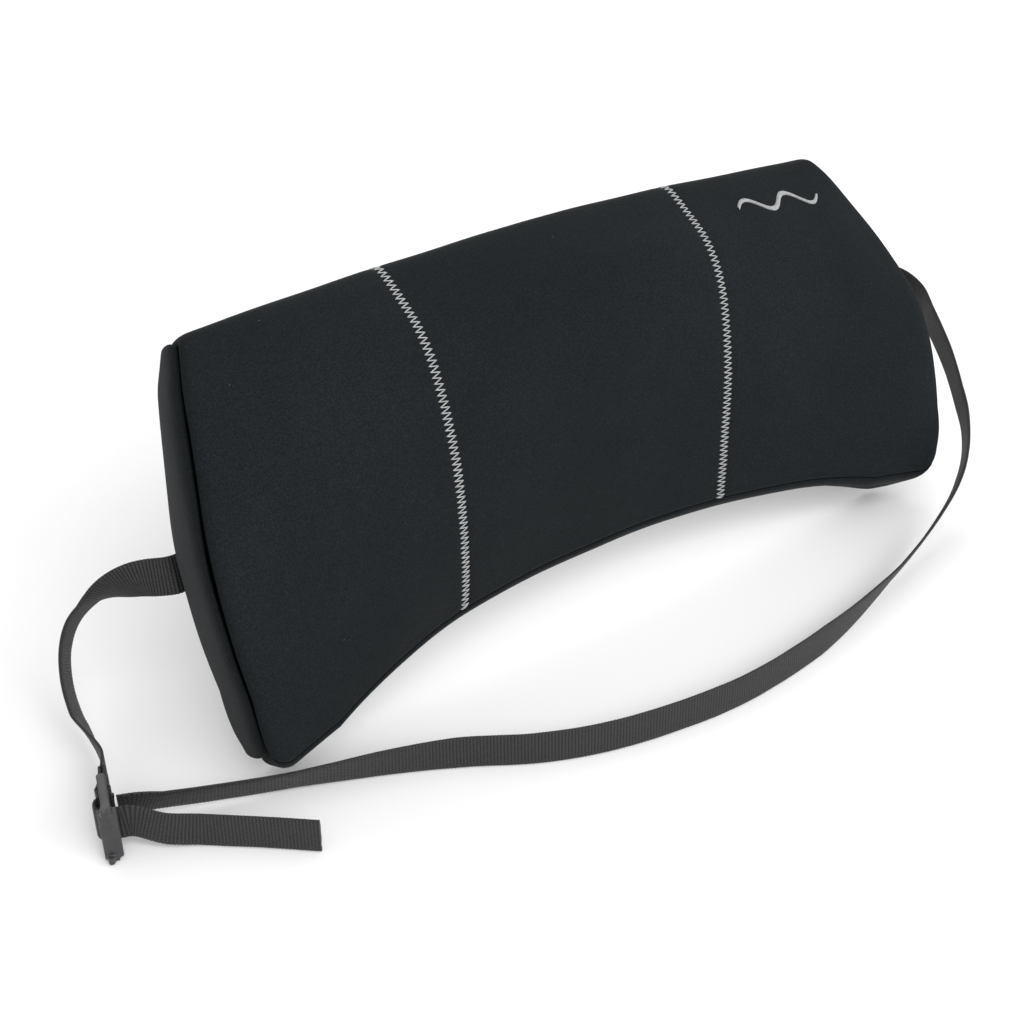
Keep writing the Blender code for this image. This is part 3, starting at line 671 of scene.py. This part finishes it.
def settle(places):
    """How the soft block lies: wider, taller and lower, its upper edge higher on the left."""
    x, z = places[:, 0].copy(), places[:, 2].copy()
    upper = clipped((z - TOP_FROM) / TOP_OVER)
    middle = clipped(1.0 - np.abs(x) / DROP_REACH) ** 0.5
    foot = clipped((-z - SPREAD_FROM) / SPREAD_OVER)
    places[:, 0] = x * (FILLING + FOOT_SPREAD * foot) + END_SHIFT
    drop = FOOT_DROP * middle * clipped(-z / DROP_OVER)
    places[:, 2] += (TOP_LIFT - TOP_LEAN * x) * upper - drop
    return places


CAP_BULGE = 1.5             # how far the end panels are rounded out
CAP_FULL_AT = 30.0          # width of an end panel from which it is rounded out fully
SEAM_FULL_AT = 14.0         # and from which its seam is sunk fully


class Shell:
    """The closed cover: a body grid of columns by marks, and a panel of cross lines on each end.

    A cross line has points at the near distances from both seams, and some inner ones between.
    """

    def __init__(self, columns, front, near, inner):
        self.columns, self.front = np.asarray(columns), np.asarray(front)
        self.marks = ring_marks(self.front)
        body = form(self.columns, self.marks)
        count, rows = len(self.front), len(self.marks)
        self.lines = [(k, rows - k) for k in range(1, count - 1)]
        caps, self.from_front, self.from_rear = [], [], []
        for side, column in ((-1, 0), (1, -1)):
            ring = body[column]
            for k, partner in self.lines:
                across = ring[partner] - ring[k]
                length = float(np.linalg.norm(across))
                edge = np.array(near) * min(1.0, 0.4 * length / near[-1])
                middle = np.linspace(edge[-1], length - edge[-1], inner + 2)[1:-1]
                walked = np.concatenate([edge, middle, length - edge[::-1]])
                line = ring[k] + across * (walked / length)[:, None]
                crown = 1.0 - np.abs(2.0 * walked / length - 1.0) ** 2.5
                line[:, 0] += side * CAP_BULGE * min(1.0, length / CAP_FULL_AT) * crown
                caps.append(line)
                self.from_front.append(walked)
                self.from_rear.append(length - walked)
        self.from_front, self.from_rear = np.array(self.from_front), np.array(self.from_rear)
        lengths = (self.from_front + self.from_rear)[:, :1]
        self.cap_room = clipped(lengths / SEAM_FULL_AT)
        self.ring_room = np.zeros((2, rows))
        for side in (0, 1):
            for line, (k, partner) in enumerate(self.lines):
                self.ring_room[side, [k, partner]] = self.cap_room[side * len(self.lines) + line, 0]
        self.steps = self.from_front.shape[1]
        places = np.concatenate([body.reshape(-1, 3), np.array(caps).reshape(-1, 3)])
        self.depths = places[:, 1]
        self.points = to_world(settle(places))

    def body_index(self, column, row):
        """Vertex number on the body grid; column -1 is the last."""
        return (column % len(self.columns)) * len(self.marks) + row

    def cap_index(self, side, line, step):
        first = len(self.columns) * len(self.marks) + (side * len(self.lines) + line) * self.steps
        return first + step

    def cap_line(self, side, line):
        """Vertex numbers of one cross line, its two seam vertices included."""
        k, partner = self.lines[line]
        inner = [self.cap_index(side, line, step) for step in range(self.steps)]
        return [self.body_index(-side, k)] + inner + [self.body_index(-side, partner)]

    def faces(self):
        rows = len(self.marks)
        at = self.body_index
        found = []
        for i in range(len(self.columns) - 1):
            for j in range(rows):
                n = (j + 1) % rows
                found.append((at(i, j), at(i + 1, j), at(i + 1, n), at(i, n)))
        for side in (0, 1):
            strips = [self.cap_line(side, line) for line in range(len(self.lines))]
            for first, second in zip(strips, strips[1:]):
                for a, b, c, d in zip(first, first[1:], second[1:], second):
                    found.append((a, b, c, d) if side else (d, c, b, a))
            tips = ((strips[0], 0, side), (strips[-1], len(self.front) - 1, 1 - side))
            for strip, tip, turned in tips:
                corner = at(-side, tip)
                for a, b in zip(strip, strip[1:]):
                    found.append((corner, b, a) if turned else (corner, a, b))
        return found

    def body(self, values):
        """The part of one value per vertex that belongs to the body grid."""
        shape = (len(self.columns), len(self.marks)) + values.shape[1:]
        return values[:shape[0] * shape[1]].reshape(shape)


# ---- cloth simulation of the cover --------------------------------------------------------------

SIM_FRAMES = 20
SIM_PRESSURE = 4.0
SIM_SMOOTHING = 4           # passes that even out the movement afterwards
SIM_CAP = 3.0               # no point of the cover moves further than this
REAR_SHARE = 0.15           # share of its movement outwards that the flat rear face keeps
FREE_DEPTH = 14.0           # distance in front of it from which the cover keeps all of that
CARRY_REACH = 5.0           # reach over which a simulated vertex carries the fine ones
CARRY_COUNT = 10


def spread(start, stop, count):
    return list(np.linspace(start, stop, count))


def simulated_movement(shell):
    """Movement of every vertex, in millimetres, as the cover fills like a stuffed cloth."""
    item = new_object("cover_sim", shell.points, shell.faces(), NEOPRENE)
    cloth = item.modifiers.new("cloth", "CLOTH")
    cloth.settings.use_pressure = True
    cloth.settings.uniform_pressure_force = SIM_PRESSURE
    cloth.settings.effector_weights.gravity = 0.0
    cloth.point_cache.frame_start = 1
    cloth.point_cache.frame_end = SIM_FRAMES
    for k in range(1, SIM_FRAMES + 1):
        bpy.context.scene.frame_set(k)
    shape = item.evaluated_get(bpy.context.evaluated_depsgraph_get()).data
    after = np.empty(len(shape.vertices) * 3)
    shape.vertices.foreach_get("co", after)
    pairs = np.array([edge.vertices[:] for edge in item.data.edges])
    bpy.context.scene.frame_set(1)
    bpy.data.objects.remove(item, do_unlink=True)
    move = after.reshape(-1, 3) / MM - shell.points
    move -= move.mean(axis=0)
    length = np.linalg.norm(move, axis=1, keepdims=True)
    move *= np.minimum(1.0, SIM_CAP / np.maximum(length, 1e-6))
    for _ in range(SIM_SMOOTHING):
        total, near = move.copy(), np.ones((len(move), 1))
        for a, b in ((0, 1), (1, 0)):
            np.add.at(total, pairs[:, a], move[pairs[:, b]])
            np.add.at(near, pairs[:, a], 1.0)
        move = total / near
    return move


# ---- the finished cover -------------------------------------------------------------------------

def beside(centre, offsets, scale):
    return [centre + side * offset / scale for offset in offsets for side in (-1, 1)]


def thinned(values, least):
    kept = []
    for value in sorted(values):
        if not kept or value - kept[-1] > least:
            kept.append(value)
    return np.array(kept)


SEAM_NEAR = (0.35, 0.8, 1.4, 2.1, 3.0, 4.2, 5.6)    # distances of the mesh lines beside a seam

# Seams of the cover, in millimetres: (how deep it sinks, over what distance)
UPRIGHT_SEAM = (0.55, 2.6)
LOW_SEAM = (0.9, 0.9)
REAR_SEAM = (1.1, 1.1)
REAR_SEAM_ROLL = (0.5, 4.0)
END_SEAM = (2.5, 2.0)
END_SEAM_ROLL = (1.6, 4.6)
# and their shadows: (how dark, over what distance)
LOW_DARK = (0.7, 0.45)
REAR_DARK = (0.8, 0.5)
END_DARK = (0.95, 1.1)
END_SHADE = (0.3, 5.0)
SEAM_FADE = 6.0             # the low and rear seams fade out this close to an end
TURN_IN_REACH = 3.5         # both panels turn in towards an end's seam within this distance

FINE_COLUMNS, COARSE_COLUMNS = 181, 73
FINE_MARKS, COARSE_MARKS = (15, 13, 76, 40), (5, 4, 26, 12)    # underside, low edge, front, top
FINE_INNER, COARSE_INNER = 12, 5
COARSE_NEAR = (1.2, 4.0)
LEAST_GAP, LEAST_MARKS = 0.2, 0.003     # lines closer than this are left out


def front_marks(counts):
    """Even marks on the four parts of the front, from the rear lower edge to the rear upper one."""
    parts = [spread(start, start + 1.0, count)[:-1] for start, count in enumerate(counts, -2)]
    return sum(parts, []) + [2.0]


def fine_columns():
    inside = spread(-1.0, 1.0, FINE_COLUMNS) + [SEAM_SPAN, -SEAM_SPAN]
    inside += beside(SEAM_SPAN, SEAM_NEAR, HALF_WIDTH) + beside(-SEAM_SPAN, SEAM_NEAR, HALF_WIDTH)
    inside += [side * (1.0 - d / HALF_WIDTH) for d in SEAM_NEAR for side in (-1, 1)]
    return np.append(thinned([c for c in inside if c < 1.0], LEAST_GAP / HALF_WIDTH), 1.0)


def fine_front():
    marks = front_marks(FINE_MARKS) + [SEAM_MARK]
    marks += beside(SEAM_MARK, SEAM_NEAR[:4], FOOT_SCALE)
    table = np.linspace(-2.0, 2.0, 4001)
    share = across_share(table)
    for seam in (2.0 + REAR_SEAM_INSET, 4.0 - REAR_SEAM_INSET):
        for rear in beside(seam, SEAM_NEAR[:5], REAR_SCALE) + [seam]:
            marks.append(float(np.interp((4.0 - rear) / 2.0, share, table)))
    return np.append(thinned([m for m in marks if m < 2.0], LEAST_MARKS), 2.0)


def valley(distance, width):
    """1 on a seam's line, falling to nothing on both sides of it."""
    return np.exp(-(distance / width) ** 2)


def sunk(seam, distance):
    """A seam's depth or darkness at a distance from its line."""
    most, width = seam
    return most * valley(distance, width)


def unit(vectors):
    return vectors / np.maximum(np.linalg.norm(vectors, axis=-1, keepdims=True), 1e-9)


WAVES_FROM = 15.0           # distance in front of the rear face from which the waves are full


def unevenness(places):
    """Shallow waves over the foam, under a millimetre high."""
    x, y, z = places[:, 0], places[:, 1], places[:, 2]
    waves = 0.35 * np.sin(x / 23.0 + 0.7 * np.sin(z / 31.0)) * np.sin(z / 27.0 + 1.3)
    return waves + 0.22 * np.sin(x / 11.0 + z / 17.0 + 0.5) * np.sin(z / 13.0 - x / 29.0 + y / 37.0)


TIP_RADIUS = 7.0            # the cover's four corners at the rear are rounded over this reach
TIP_PASSES = 70
TIP_PULL = 4.5              # and drawn in by this much first


def round_tips(shell):
    """Rounds the four corners where an end meets the rear face, by averaging near points."""
    points = shell.points
    tips = [points[shell.body_index(column, mark)].copy() for column in (0, -1)
            for mark in (0, len(shell.front) - 1)]
    away = np.min([np.linalg.norm(points - tip, axis=1) for tip in tips], axis=0)
    weight = valley(away, TIP_RADIUS)
    for tip in tips:
        inwards = unit(np.mean(points, axis=0) - tip)
        pull = valley(np.linalg.norm(points - tip, axis=1), TIP_RADIUS)
        points += pull[:, None] * inwards * TIP_PULL
    near = weight > 0.01
    pairs = np.array([(face[k - 1], face[k]) for face in shell.faces() for k in range(len(face))
                      if near[face[k]] or near[face[k - 1]]])
    starts, ends = np.concatenate([pairs, pairs[:, ::-1]]).T
    count = np.maximum(np.bincount(starts, minlength=len(points)), 1)[:, None]
    for _ in range(TIP_PASSES):
        total = np.zeros_like(points)
        np.add.at(total, starts, points[ends])
        points[near] += (0.5 * weight[:, None] * (total / count - points))[near]


FLOOR_GAP = 0.3             # the cover stays this far above the ground


class Cover:
    """The finished cover, its seams sunk in, with places on it for the stitching."""

    def __init__(self):
        shell = Shell(fine_columns(), fine_front(), SEAM_NEAR[:6], FINE_INNER)
        self.shell = shell
        shell.points = shell.points + self.movement(shell)
        normals = self.normals_of(shell)
        depth_mm, self.dark, ways = self.seams(shell, normals)
        waves = unevenness(shell.points) * np.clip(shell.depths / WAVES_FROM, 0.1, 1.0)
        shell.points = shell.points + normals * waves[:, None] - ways * depth_mm[:, None]
        round_tips(shell)
        shell.points[:, 2] = np.maximum(shell.points[:, 2], FLOOR_GAP)
        self.columns, self.marks = shell.columns, shell.marks
        self.points, self.normals = shell.body(shell.points), shell.body(self.normals_of(shell))

    def movement(self, shell):
        """The simulated movement of a coarser shell, carried to every vertex of this one."""
        coarse = Shell(spread(-1.0, 1.0, COARSE_COLUMNS), front_marks(COARSE_MARKS), COARSE_NEAR,
                       COARSE_INNER)
        move = simulated_movement(coarse)
        tree = KDTree(len(move))
        for k, point in enumerate(coarse.points):
            tree.insert(Vector(point), k)
        tree.balance()
        fine = np.zeros_like(shell.points)
        for k, point in enumerate(shell.points):
            found = tree.find_n(Vector(point), CARRY_COUNT)
            weights = np.array([math.exp(-(gap / CARRY_REACH) ** 2) + 1e-9 for _, _, gap in found])
            fine[k] = weights @ move[[n for _, n, _ in found]] / weights.sum()
        share = REAR_SHARE + (1.0 - REAR_SHARE) * clipped(shell.depths / FREE_DEPTH)
        outwards = fine @ OUT_OF_REAR
        return fine - (outwards * (1.0 - share))[:, None] * OUT_OF_REAR

    def normals_of(self, shell):
        mesh = bpy.data.meshes.new("shell")
        mesh.from_pydata(shell.points.tolist(), [], shell.faces())
        normals = np.empty(len(mesh.vertices) * 3)
        mesh.vertex_normals.foreach_get("vector", normals)
        bpy.data.meshes.remove(mesh)
        return normals.reshape(-1, 3)

    def seams(self, shell, normals):
        """How deep the cover sinks at its seams, how much shade is painted along them, and which
        way it sinks.
        """
        count = len(shell.columns) * len(shell.marks)
        c, m = np.meshgrid(shell.columns, shell.marks, indexing="ij")
        on_front = (m >= SEAM_MARK) & (m <= 2.0 + REAR_SEAM_INSET)
        from_upright = np.abs(np.abs(c) - SEAM_SPAN) * HALF_WIDTH
        from_end = np.abs(np.abs(c) - 1.0) * HALF_WIDTH
        from_low = np.abs(m - SEAM_MARK) * FOOT_SCALE
        from_rear = REAR_SCALE * np.minimum(np.abs(m - 2.0 - REAR_SEAM_INSET),
                                            np.abs(m - 4.0 + REAR_SEAM_INSET))
        fade = clipped(from_end / SEAM_FADE)
        depth_mm = sunk(UPRIGHT_SEAM, from_upright) * on_front
        depth_mm += fade * (sunk(LOW_SEAM, from_low) + sunk(REAR_SEAM, from_rear)
                            + sunk(REAR_SEAM_ROLL, from_rear))
        # Painted shade along the low and rear seams, fading out near the ends.
        dark = fade * (sunk(LOW_DARK, from_low) + sunk(REAR_DARK, from_rear))
        on_caps = np.minimum(shell.from_front, shell.from_rear)
        from_end = np.concatenate([from_end.ravel(), on_caps.ravel()])
        depth_mm = np.concatenate([depth_mm.ravel(), np.zeros(len(from_end) - count)])
        dark = np.concatenate([dark.ravel(), np.zeros(len(from_end) - count)])
        room = np.where(c < 0.0, shell.ring_room[0][None, :], shell.ring_room[1][None, :]).ravel()
        room = np.concatenate([room, np.repeat(shell.cap_room[:, 0], shell.steps)])
        depth_mm += room * (sunk(END_SEAM, from_end) + sunk(END_SEAM_ROLL, from_end))
        # Painted shade along the end seams, with a broad band of painted shade beside them.
        dark += sunk(END_DARK, from_end) + sunk(END_SHADE, from_end)
        return depth_mm, clipped(dark), self.seam_ways(shell, normals)

    def seam_ways(self, shell, normals):
        """Near an end's seam both panels turn in along the line between them."""
        ways = normals.copy()
        body = shell.body(ways)
        rims = (shell.body(normals)[0], shell.body(normals)[-1])
        share = valley((1.0 - np.abs(shell.columns)) * HALF_WIDTH, TURN_IN_REACH)
        for i, column in enumerate(shell.columns):
            rim = rims[1] if column > 0 else rims[0]
            body[i] = unit(body[i] * (1.0 - share[i]) + rim * share[i])
        for side in (0, 1):
            for line, (k, partner) in enumerate(shell.lines):
                row = side * len(shell.lines) + line
                front = valley(shell.from_front[row], TURN_IN_REACH)
                rear = valley(shell.from_rear[row], TURN_IN_REACH)
                first = shell.cap_index(side, line, 0)
                own = ways[first:first + shell.steps]
                mixed = own * (1.0 - np.maximum(front, rear))[:, None]
                mixed += rims[side][k] * front[:, None] + rims[side][partner] * rear[:, None]
                ways[first:first + shell.steps] = unit(mixed)
        return ways

    def at(self, column, mark, out=0.0):
        """World point over a place on the cover, out millimetres above it."""
        i = float(np.interp(column, self.columns, np.arange(len(self.columns))))
        j = float(np.interp(mark, self.marks, np.arange(len(self.marks))))
        a, b = min(int(i), len(self.columns) - 2), min(int(j), len(self.marks) - 2)
        f, g = i - a, j - b
        point, normal = np.zeros(3), np.zeros(3)
        for di, wi in ((0, 1 - f), (1, f)):
            for dj, wj in ((0, 1 - g), (1, g)):
                point += wi * wj * self.points[a + di, b + dj]
                normal += wi * wj * self.normals[a + di, b + dj]
        return Vector(point + normal / np.linalg.norm(normal) * out)

    def build(self):
        item = new_object("cover", self.shell.points, self.shell.faces(), NEOPRENE)
        # The seams' painted shade, read by the neoprene material.
        point_values(item, "painted_seam_shade", self.dark)
        return item


# ---- stitching ----------------------------------------------------------------------------------

def thread(name, runs, radius, material):
    """Threads as round curves, one spline for each run of points in millimetres."""
    data = bpy.data.curves.new(name, "CURVE")
    data.dimensions = "3D"
    data.bevel_depth = radius * MM
    data.bevel_resolution = 1
    data.use_fill_caps = True
    for run in runs:
        spline = data.splines.new("POLY")
        spline.points.add(len(run) - 1)
        for point, place in zip(spline.points, run):
            point.co = (*(Vector(place) * MM), 1.0)
    data.materials.append(material)
    return in_scene(name, data)


ZIGZAG_HALF = 2.05
ZIGZAG_STEP = 1.15
ZIGZAG_RADIUS = 0.27
ZIGZAG_UNEVEN = 0.06
ZIGZAG_STITCH = ((0.0, -0.15), (0.22, 0.32), (0.5, 0.42), (0.78, 0.32))    # share of it, height


def zigzag(cover, name, column):
    """One dense zigzag along an upright seam, each stitch dipping into the knit at its ends."""
    rng = np.random.default_rng(11 if column > 0 else 5)
    marks = np.linspace(SEAM_MARK + 0.02, 2.0 + REAR_SEAM_INSET, 400)
    line = [cover.at(column, m) for m in marks]
    walked = distances(line)
    count = int(walked[-1] / ZIGZAG_STEP)
    run = []
    for k in range(count):
        here = np.interp([k * ZIGZAG_STEP, (k + 1) * ZIGZAG_STEP], walked, marks)
        side = 1 if k % 2 else -1
        half = ZIGZAG_HALF * (1.0 + rng.uniform(-ZIGZAG_UNEVEN, ZIGZAG_UNEVEN)) / HALF_WIDTH
        for share, out in ZIGZAG_STITCH:
            m = here[0] + (here[1] - here[0]) * share
            run.append(cover.at(column + side * half * (2.0 * share - 1.0), m, out))
    return thread(name, [run], ZIGZAG_RADIUS, GREY_THREAD)


WAVE_COLUMNS = (0.555, 0.86)
WAVE_MARK = 0.875
WAVE_RISE = 0.022
WAVE_BAND = 0.007
WAVE_COUNT = 130
WAVE_RADIUS = 0.19
WAVE_STITCH = ((-1.0, -0.1), (-0.7, 0.3), (0.0, 0.45), (0.7, 0.3), (1.0, -0.1))


def embroidered_wave(cover):
    """A plain wave in satin stitch: short threads side by side across the band."""
    runs = []
    for k in range(WAVE_COUNT):
        share = k / (WAVE_COUNT - 1)
        column = WAVE_COLUMNS[0] + (WAVE_COLUMNS[1] - WAVE_COLUMNS[0]) * share
        middle = WAVE_MARK + WAVE_RISE * math.sin(share * 4 * math.pi)
        band = WAVE_BAND * (0.35 + 0.65 * math.sin(math.pi * min(1.0, 0.08 + share * 0.92)) ** 0.5)
        runs.append([cover.at(column, middle + band * f, out) for f, out in WAVE_STITCH])
    return thread("embroidered_wave", runs, WAVE_RADIUS, GREY_THREAD)


BLACK_RADIUS = 0.22
BOX_HALF, BOX_RISE = 15.0, 5.2


def stitch_line(places, out_way, pitch=2.6, length=1.9, lift=0.22):
    """Single lock stitches along a line of world points: short arcs with gaps between them."""
    walked = distances(places)
    runs = []
    start = 0.3
    while start + length < walked[-1]:
        run = []
        for share, out in ((0.0, -0.15), (0.2, lift), (0.8, lift), (1.0, -0.15)):
            point = Vector(line_at(start + share * length, walked, places))
            run.append(point + out_way * out)
        runs.append(run)
        start += pitch
    return runs


def box_stitch(name, side):
    """A box with a cross in it, sewn through a strap's foot."""
    middle = side * (FOOT_OUTER - FOOT_LENGTH / 2)
    out = FOOT_OUT + WEB_THICK / 2
    corners = [behind(middle + x * BOX_HALF, out, z * BOX_RISE)
               for x, z in ((-1, -1), (1, -1), (1, 1), (-1, 1))]
    runs = []
    for first, second in ((0, 1), (1, 2), (2, 3), (3, 0), (0, 2), (1, 3)):
        line = [corners[first].lerp(corners[second], k / 20) for k in range(21)]
        runs += stitch_line(line, Vector(OUT_OF_REAR))
    return thread(name, runs, BLACK_RADIUS, BLACK_THREAD)


def foot_path(side):
    ends = (FOOT_OUTER - FOOT_LENGTH, FOOT_OUTER + FOOT_CLEAR)
    points = smooth_route([behind(side * x, FOOT_OUT, 0.0) for x in ends])
    return points, [ALONG_BACK] * len(points)


# ---- ladder lock --------------------------------------------------------------------------------

RAIL_THICK = 3.0
RAIL_DEPTH = 3.2
TAB_SPAN = 6.6
OVAL_SIDES = 28
TEETH = (-0.7, 0.1, 0.9)    # places of the middle bar's teeth along the lock
LOCK_VOXEL = 0.00028        # metres


def lock_prism(outline, z_from, z_to):
    """Points and faces of an outline in the lock's plane, drawn up from z_from to z_to."""
    count = len(outline)
    points = [lock_point(a, o, z) for z in (z_from, z_to) for a, o in outline]
    faces = [tuple(range(count)), tuple(count + k for k in reversed(range(count)))]
    faces += [(k, count + k, count + (k + 1) % count, (k + 1) % count) for k in range(count)]
    return points, faces


def oval(along, radius_along, radius_out):
    turns = [2 * math.pi * k / OVAL_SIDES for k in range(OVAL_SIDES)]
    return [(along + radius_along * math.cos(a), radius_out * math.sin(a)) for a in turns]


def rail_side(toe):
    """Side view of a rail, with a toe beyond the tab."""
    half = RAIL_DEPTH / 2
    start = LOOP_BAR_AT - 2.2
    return [(start, -half * 0.4), (start + 0.9, -half), (TAB_AT - 2.0, -half),
            (TAB_AT + toe * 0.55, -half - 0.9), (TAB_AT + toe, -half - 0.4),
            (TAB_AT + toe, -half + 1.0), (TAB_AT + 1.4, half * 0.3), (TAB_AT + 1.6, half),
            (start + 0.9, half), (start, half * 0.4)]


def tab_side():
    """Section of the thumb tab: thin, with a convex outer face and rolled edges."""
    half = TAB_SPAN / 2
    inner = [(TAB_AT - 0.8 - 0.25 * (1.0 - k * k / 9.0), k * half / 3.0) for k in range(-3, 4)]
    outer = [(TAB_AT + 1.35 - 1.0 * (k / 5.0) ** 2, k * half / 5.0) for k in range(5, -6, -1)]
    return inner + outer


def tooth(along):
    return [(along - 0.3, 0.9), (along + 0.3, 0.9), (along + 0.1, 1.75), (along - 0.1, 1.75)]


def ladder_lock():
    """One moulding: rails, loop bar, toothed middle bar and thumb tab, run together and rounded."""
    half = LOCK_WIDTH / 2
    inside = half - RAIL_THICK
    pieces = [lock_prism(rail_side(3.0), -half, -inside), lock_prism(rail_side(2.4), inside, half),
              lock_prism(oval(LOOP_BAR_AT, BAR_RADIUS, BAR_RADIUS), -inside - 0.8, inside + 0.8),
              lock_prism(oval(0.0, 1.35, 1.2), -inside - 0.8, inside + 0.8),
              lock_prism(tab_side(), -inside - 2.2, inside + 1.6)]
    pieces += [lock_prism(tooth(a), -inside + 0.6, inside - 0.6) for a in TEETH]
    points, faces = [], []
    for some_points, some_faces in pieces:
        faces += [tuple(k + len(points) for k in face) for face in some_faces]
        points += some_points
    item = new_object("ladder_lock_moulding", points, faces, ACETAL)
    turn_outwards(item)
    remesh = item.modifiers.new("remesh", "REMESH")
    remesh.mode = "VOXEL"
    remesh.voxel_size = LOCK_VOXEL
    smooth = item.modifiers.new("smooth", "SMOOTH")
    smooth.factor = 0.5
    smooth.iterations = 4
    apply_modifiers(item)
    item.data.shade_smooth()
    return item


def turn_outwards(item):
    mesh = bmesh.new()
    mesh.from_mesh(item.data)
    bmesh.ops.recalc_face_normals(mesh, faces=mesh.faces)
    mesh.to_mesh(item.data)
    mesh.free()


def apply_modifiers(item):
    shape = item.evaluated_get(bpy.context.evaluated_depsgraph_get())
    applied = bpy.data.meshes.new_from_object(shape)
    item.modifiers.clear()
    item.data = applied


# ---- the whole ----------------------------------------------------------------------------------

COVER_NODES = ("front_panel_left", "front_panel_centre", "front_panel_right", "bottom_panel",
               "back_panel", "end_panel_left", "end_panel_right", "foam_core")


def metres(points, step=12):
    """Every step-th point of a path, and its last, in metres."""
    kept = points[::step]
    if kept[-1] != points[-1]:
        kept = kept + [points[-1]]
    return [tuple(p * MM) for p in kept]


def build_cushion():
    cover = Cover()
    body = cover.build()
    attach(body, "cushion")
    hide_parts(*COVER_NODES)
    for name, column in (("left", -SEAM_SPAN), ("right", SEAM_SPAN)):
        seam = zigzag(cover, "zigzag_" + name, column)
        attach(seam, "cushion")
        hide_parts("seam_thread_" + name)
    wave = embroidered_wave(cover)
    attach(wave, "cushion")
    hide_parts("embroidered_mark")


def build_feet():
    for side, word in ((-1, "left"), (1, "right")):
        foot = webbing("foot_web_" + word, foot_path(side))
        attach(foot, "cushion")
        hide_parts("strap_foot_" + word)
        box = box_stitch("foot_stitches_" + word, side)
        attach(box, "cushion")
        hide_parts("box_stitch_" + word)


TACK_PLACES = (7.2, 8.4, 9.6)   # distances of its rows from the loop bar


def fold_tack():
    """Rows of dense stitching through the folded end of the short strap."""
    bar = lock_point(LOOP_BAR_AT, 0.0)
    way = loop_way()
    side = UP.cross(way)
    out = side * -(WEB_THICK + GAP / 2)
    runs = []
    for place in TACK_PLACES:
        line = [bar + way * place + out + UP * (z * 0.5) for z in range(-12, 13)]
        runs += stitch_line(line, -side, pitch=1.5, length=1.25, lift=0.3)
    return thread("fold_tack", runs, BLACK_RADIUS, BLACK_THREAD)


def build_straps():
    lock = ladder_lock()
    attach(lock, "ladder_lock")
    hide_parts("ladder_lock")

    fold = webbing("short_strap_fold", fold_path())
    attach(fold, "strap_loop")
    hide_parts("short_strap_loop")
    tack = fold_tack()
    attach(tack, "strap_loop")
    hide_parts("loop_bar_tack")

    path = short_path()
    short = webbing("short_strap_web", path)
    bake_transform(short)
    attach(short, "cushion")
    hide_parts("short_strap")
    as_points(metres(path[0]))

    path = long_path()
    long = webbing("long_strap_web", path)
    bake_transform(long)
    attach(long, "cushion")
    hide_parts("long_strap")
    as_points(metres(path[0]))

    path = tail_path()
    tail = webbing("strap_tail_web", path, ragged=0.25)
    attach(tail, "ladder_lock")
    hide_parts("long_strap_tail")
    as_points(metres(path[0], step=3))


FLOOR_HALF, FLOOR_AT = 3000.0, -0.05


def build_floor():
    s = Surface("studio_floor", 0.9, specular=0.1)
    colour = s.ramp(s.noise(3.0, 2.0), [(0.3, (0.86, 0.86, 0.86)), (0.7, (0.88, 0.88, 0.88))])
    corners = [(x * FLOOR_HALF, y * FLOOR_HALF, FLOOR_AT)
               for x, y in ((-1, -1), (1, -1), (1, 1), (-1, 1))]
    floor = new_object("studio_floor", corners, [(0, 1, 2, 3)], s.finish(colour))


build_floor()
build_straps()
build_feet()
build_cushion()
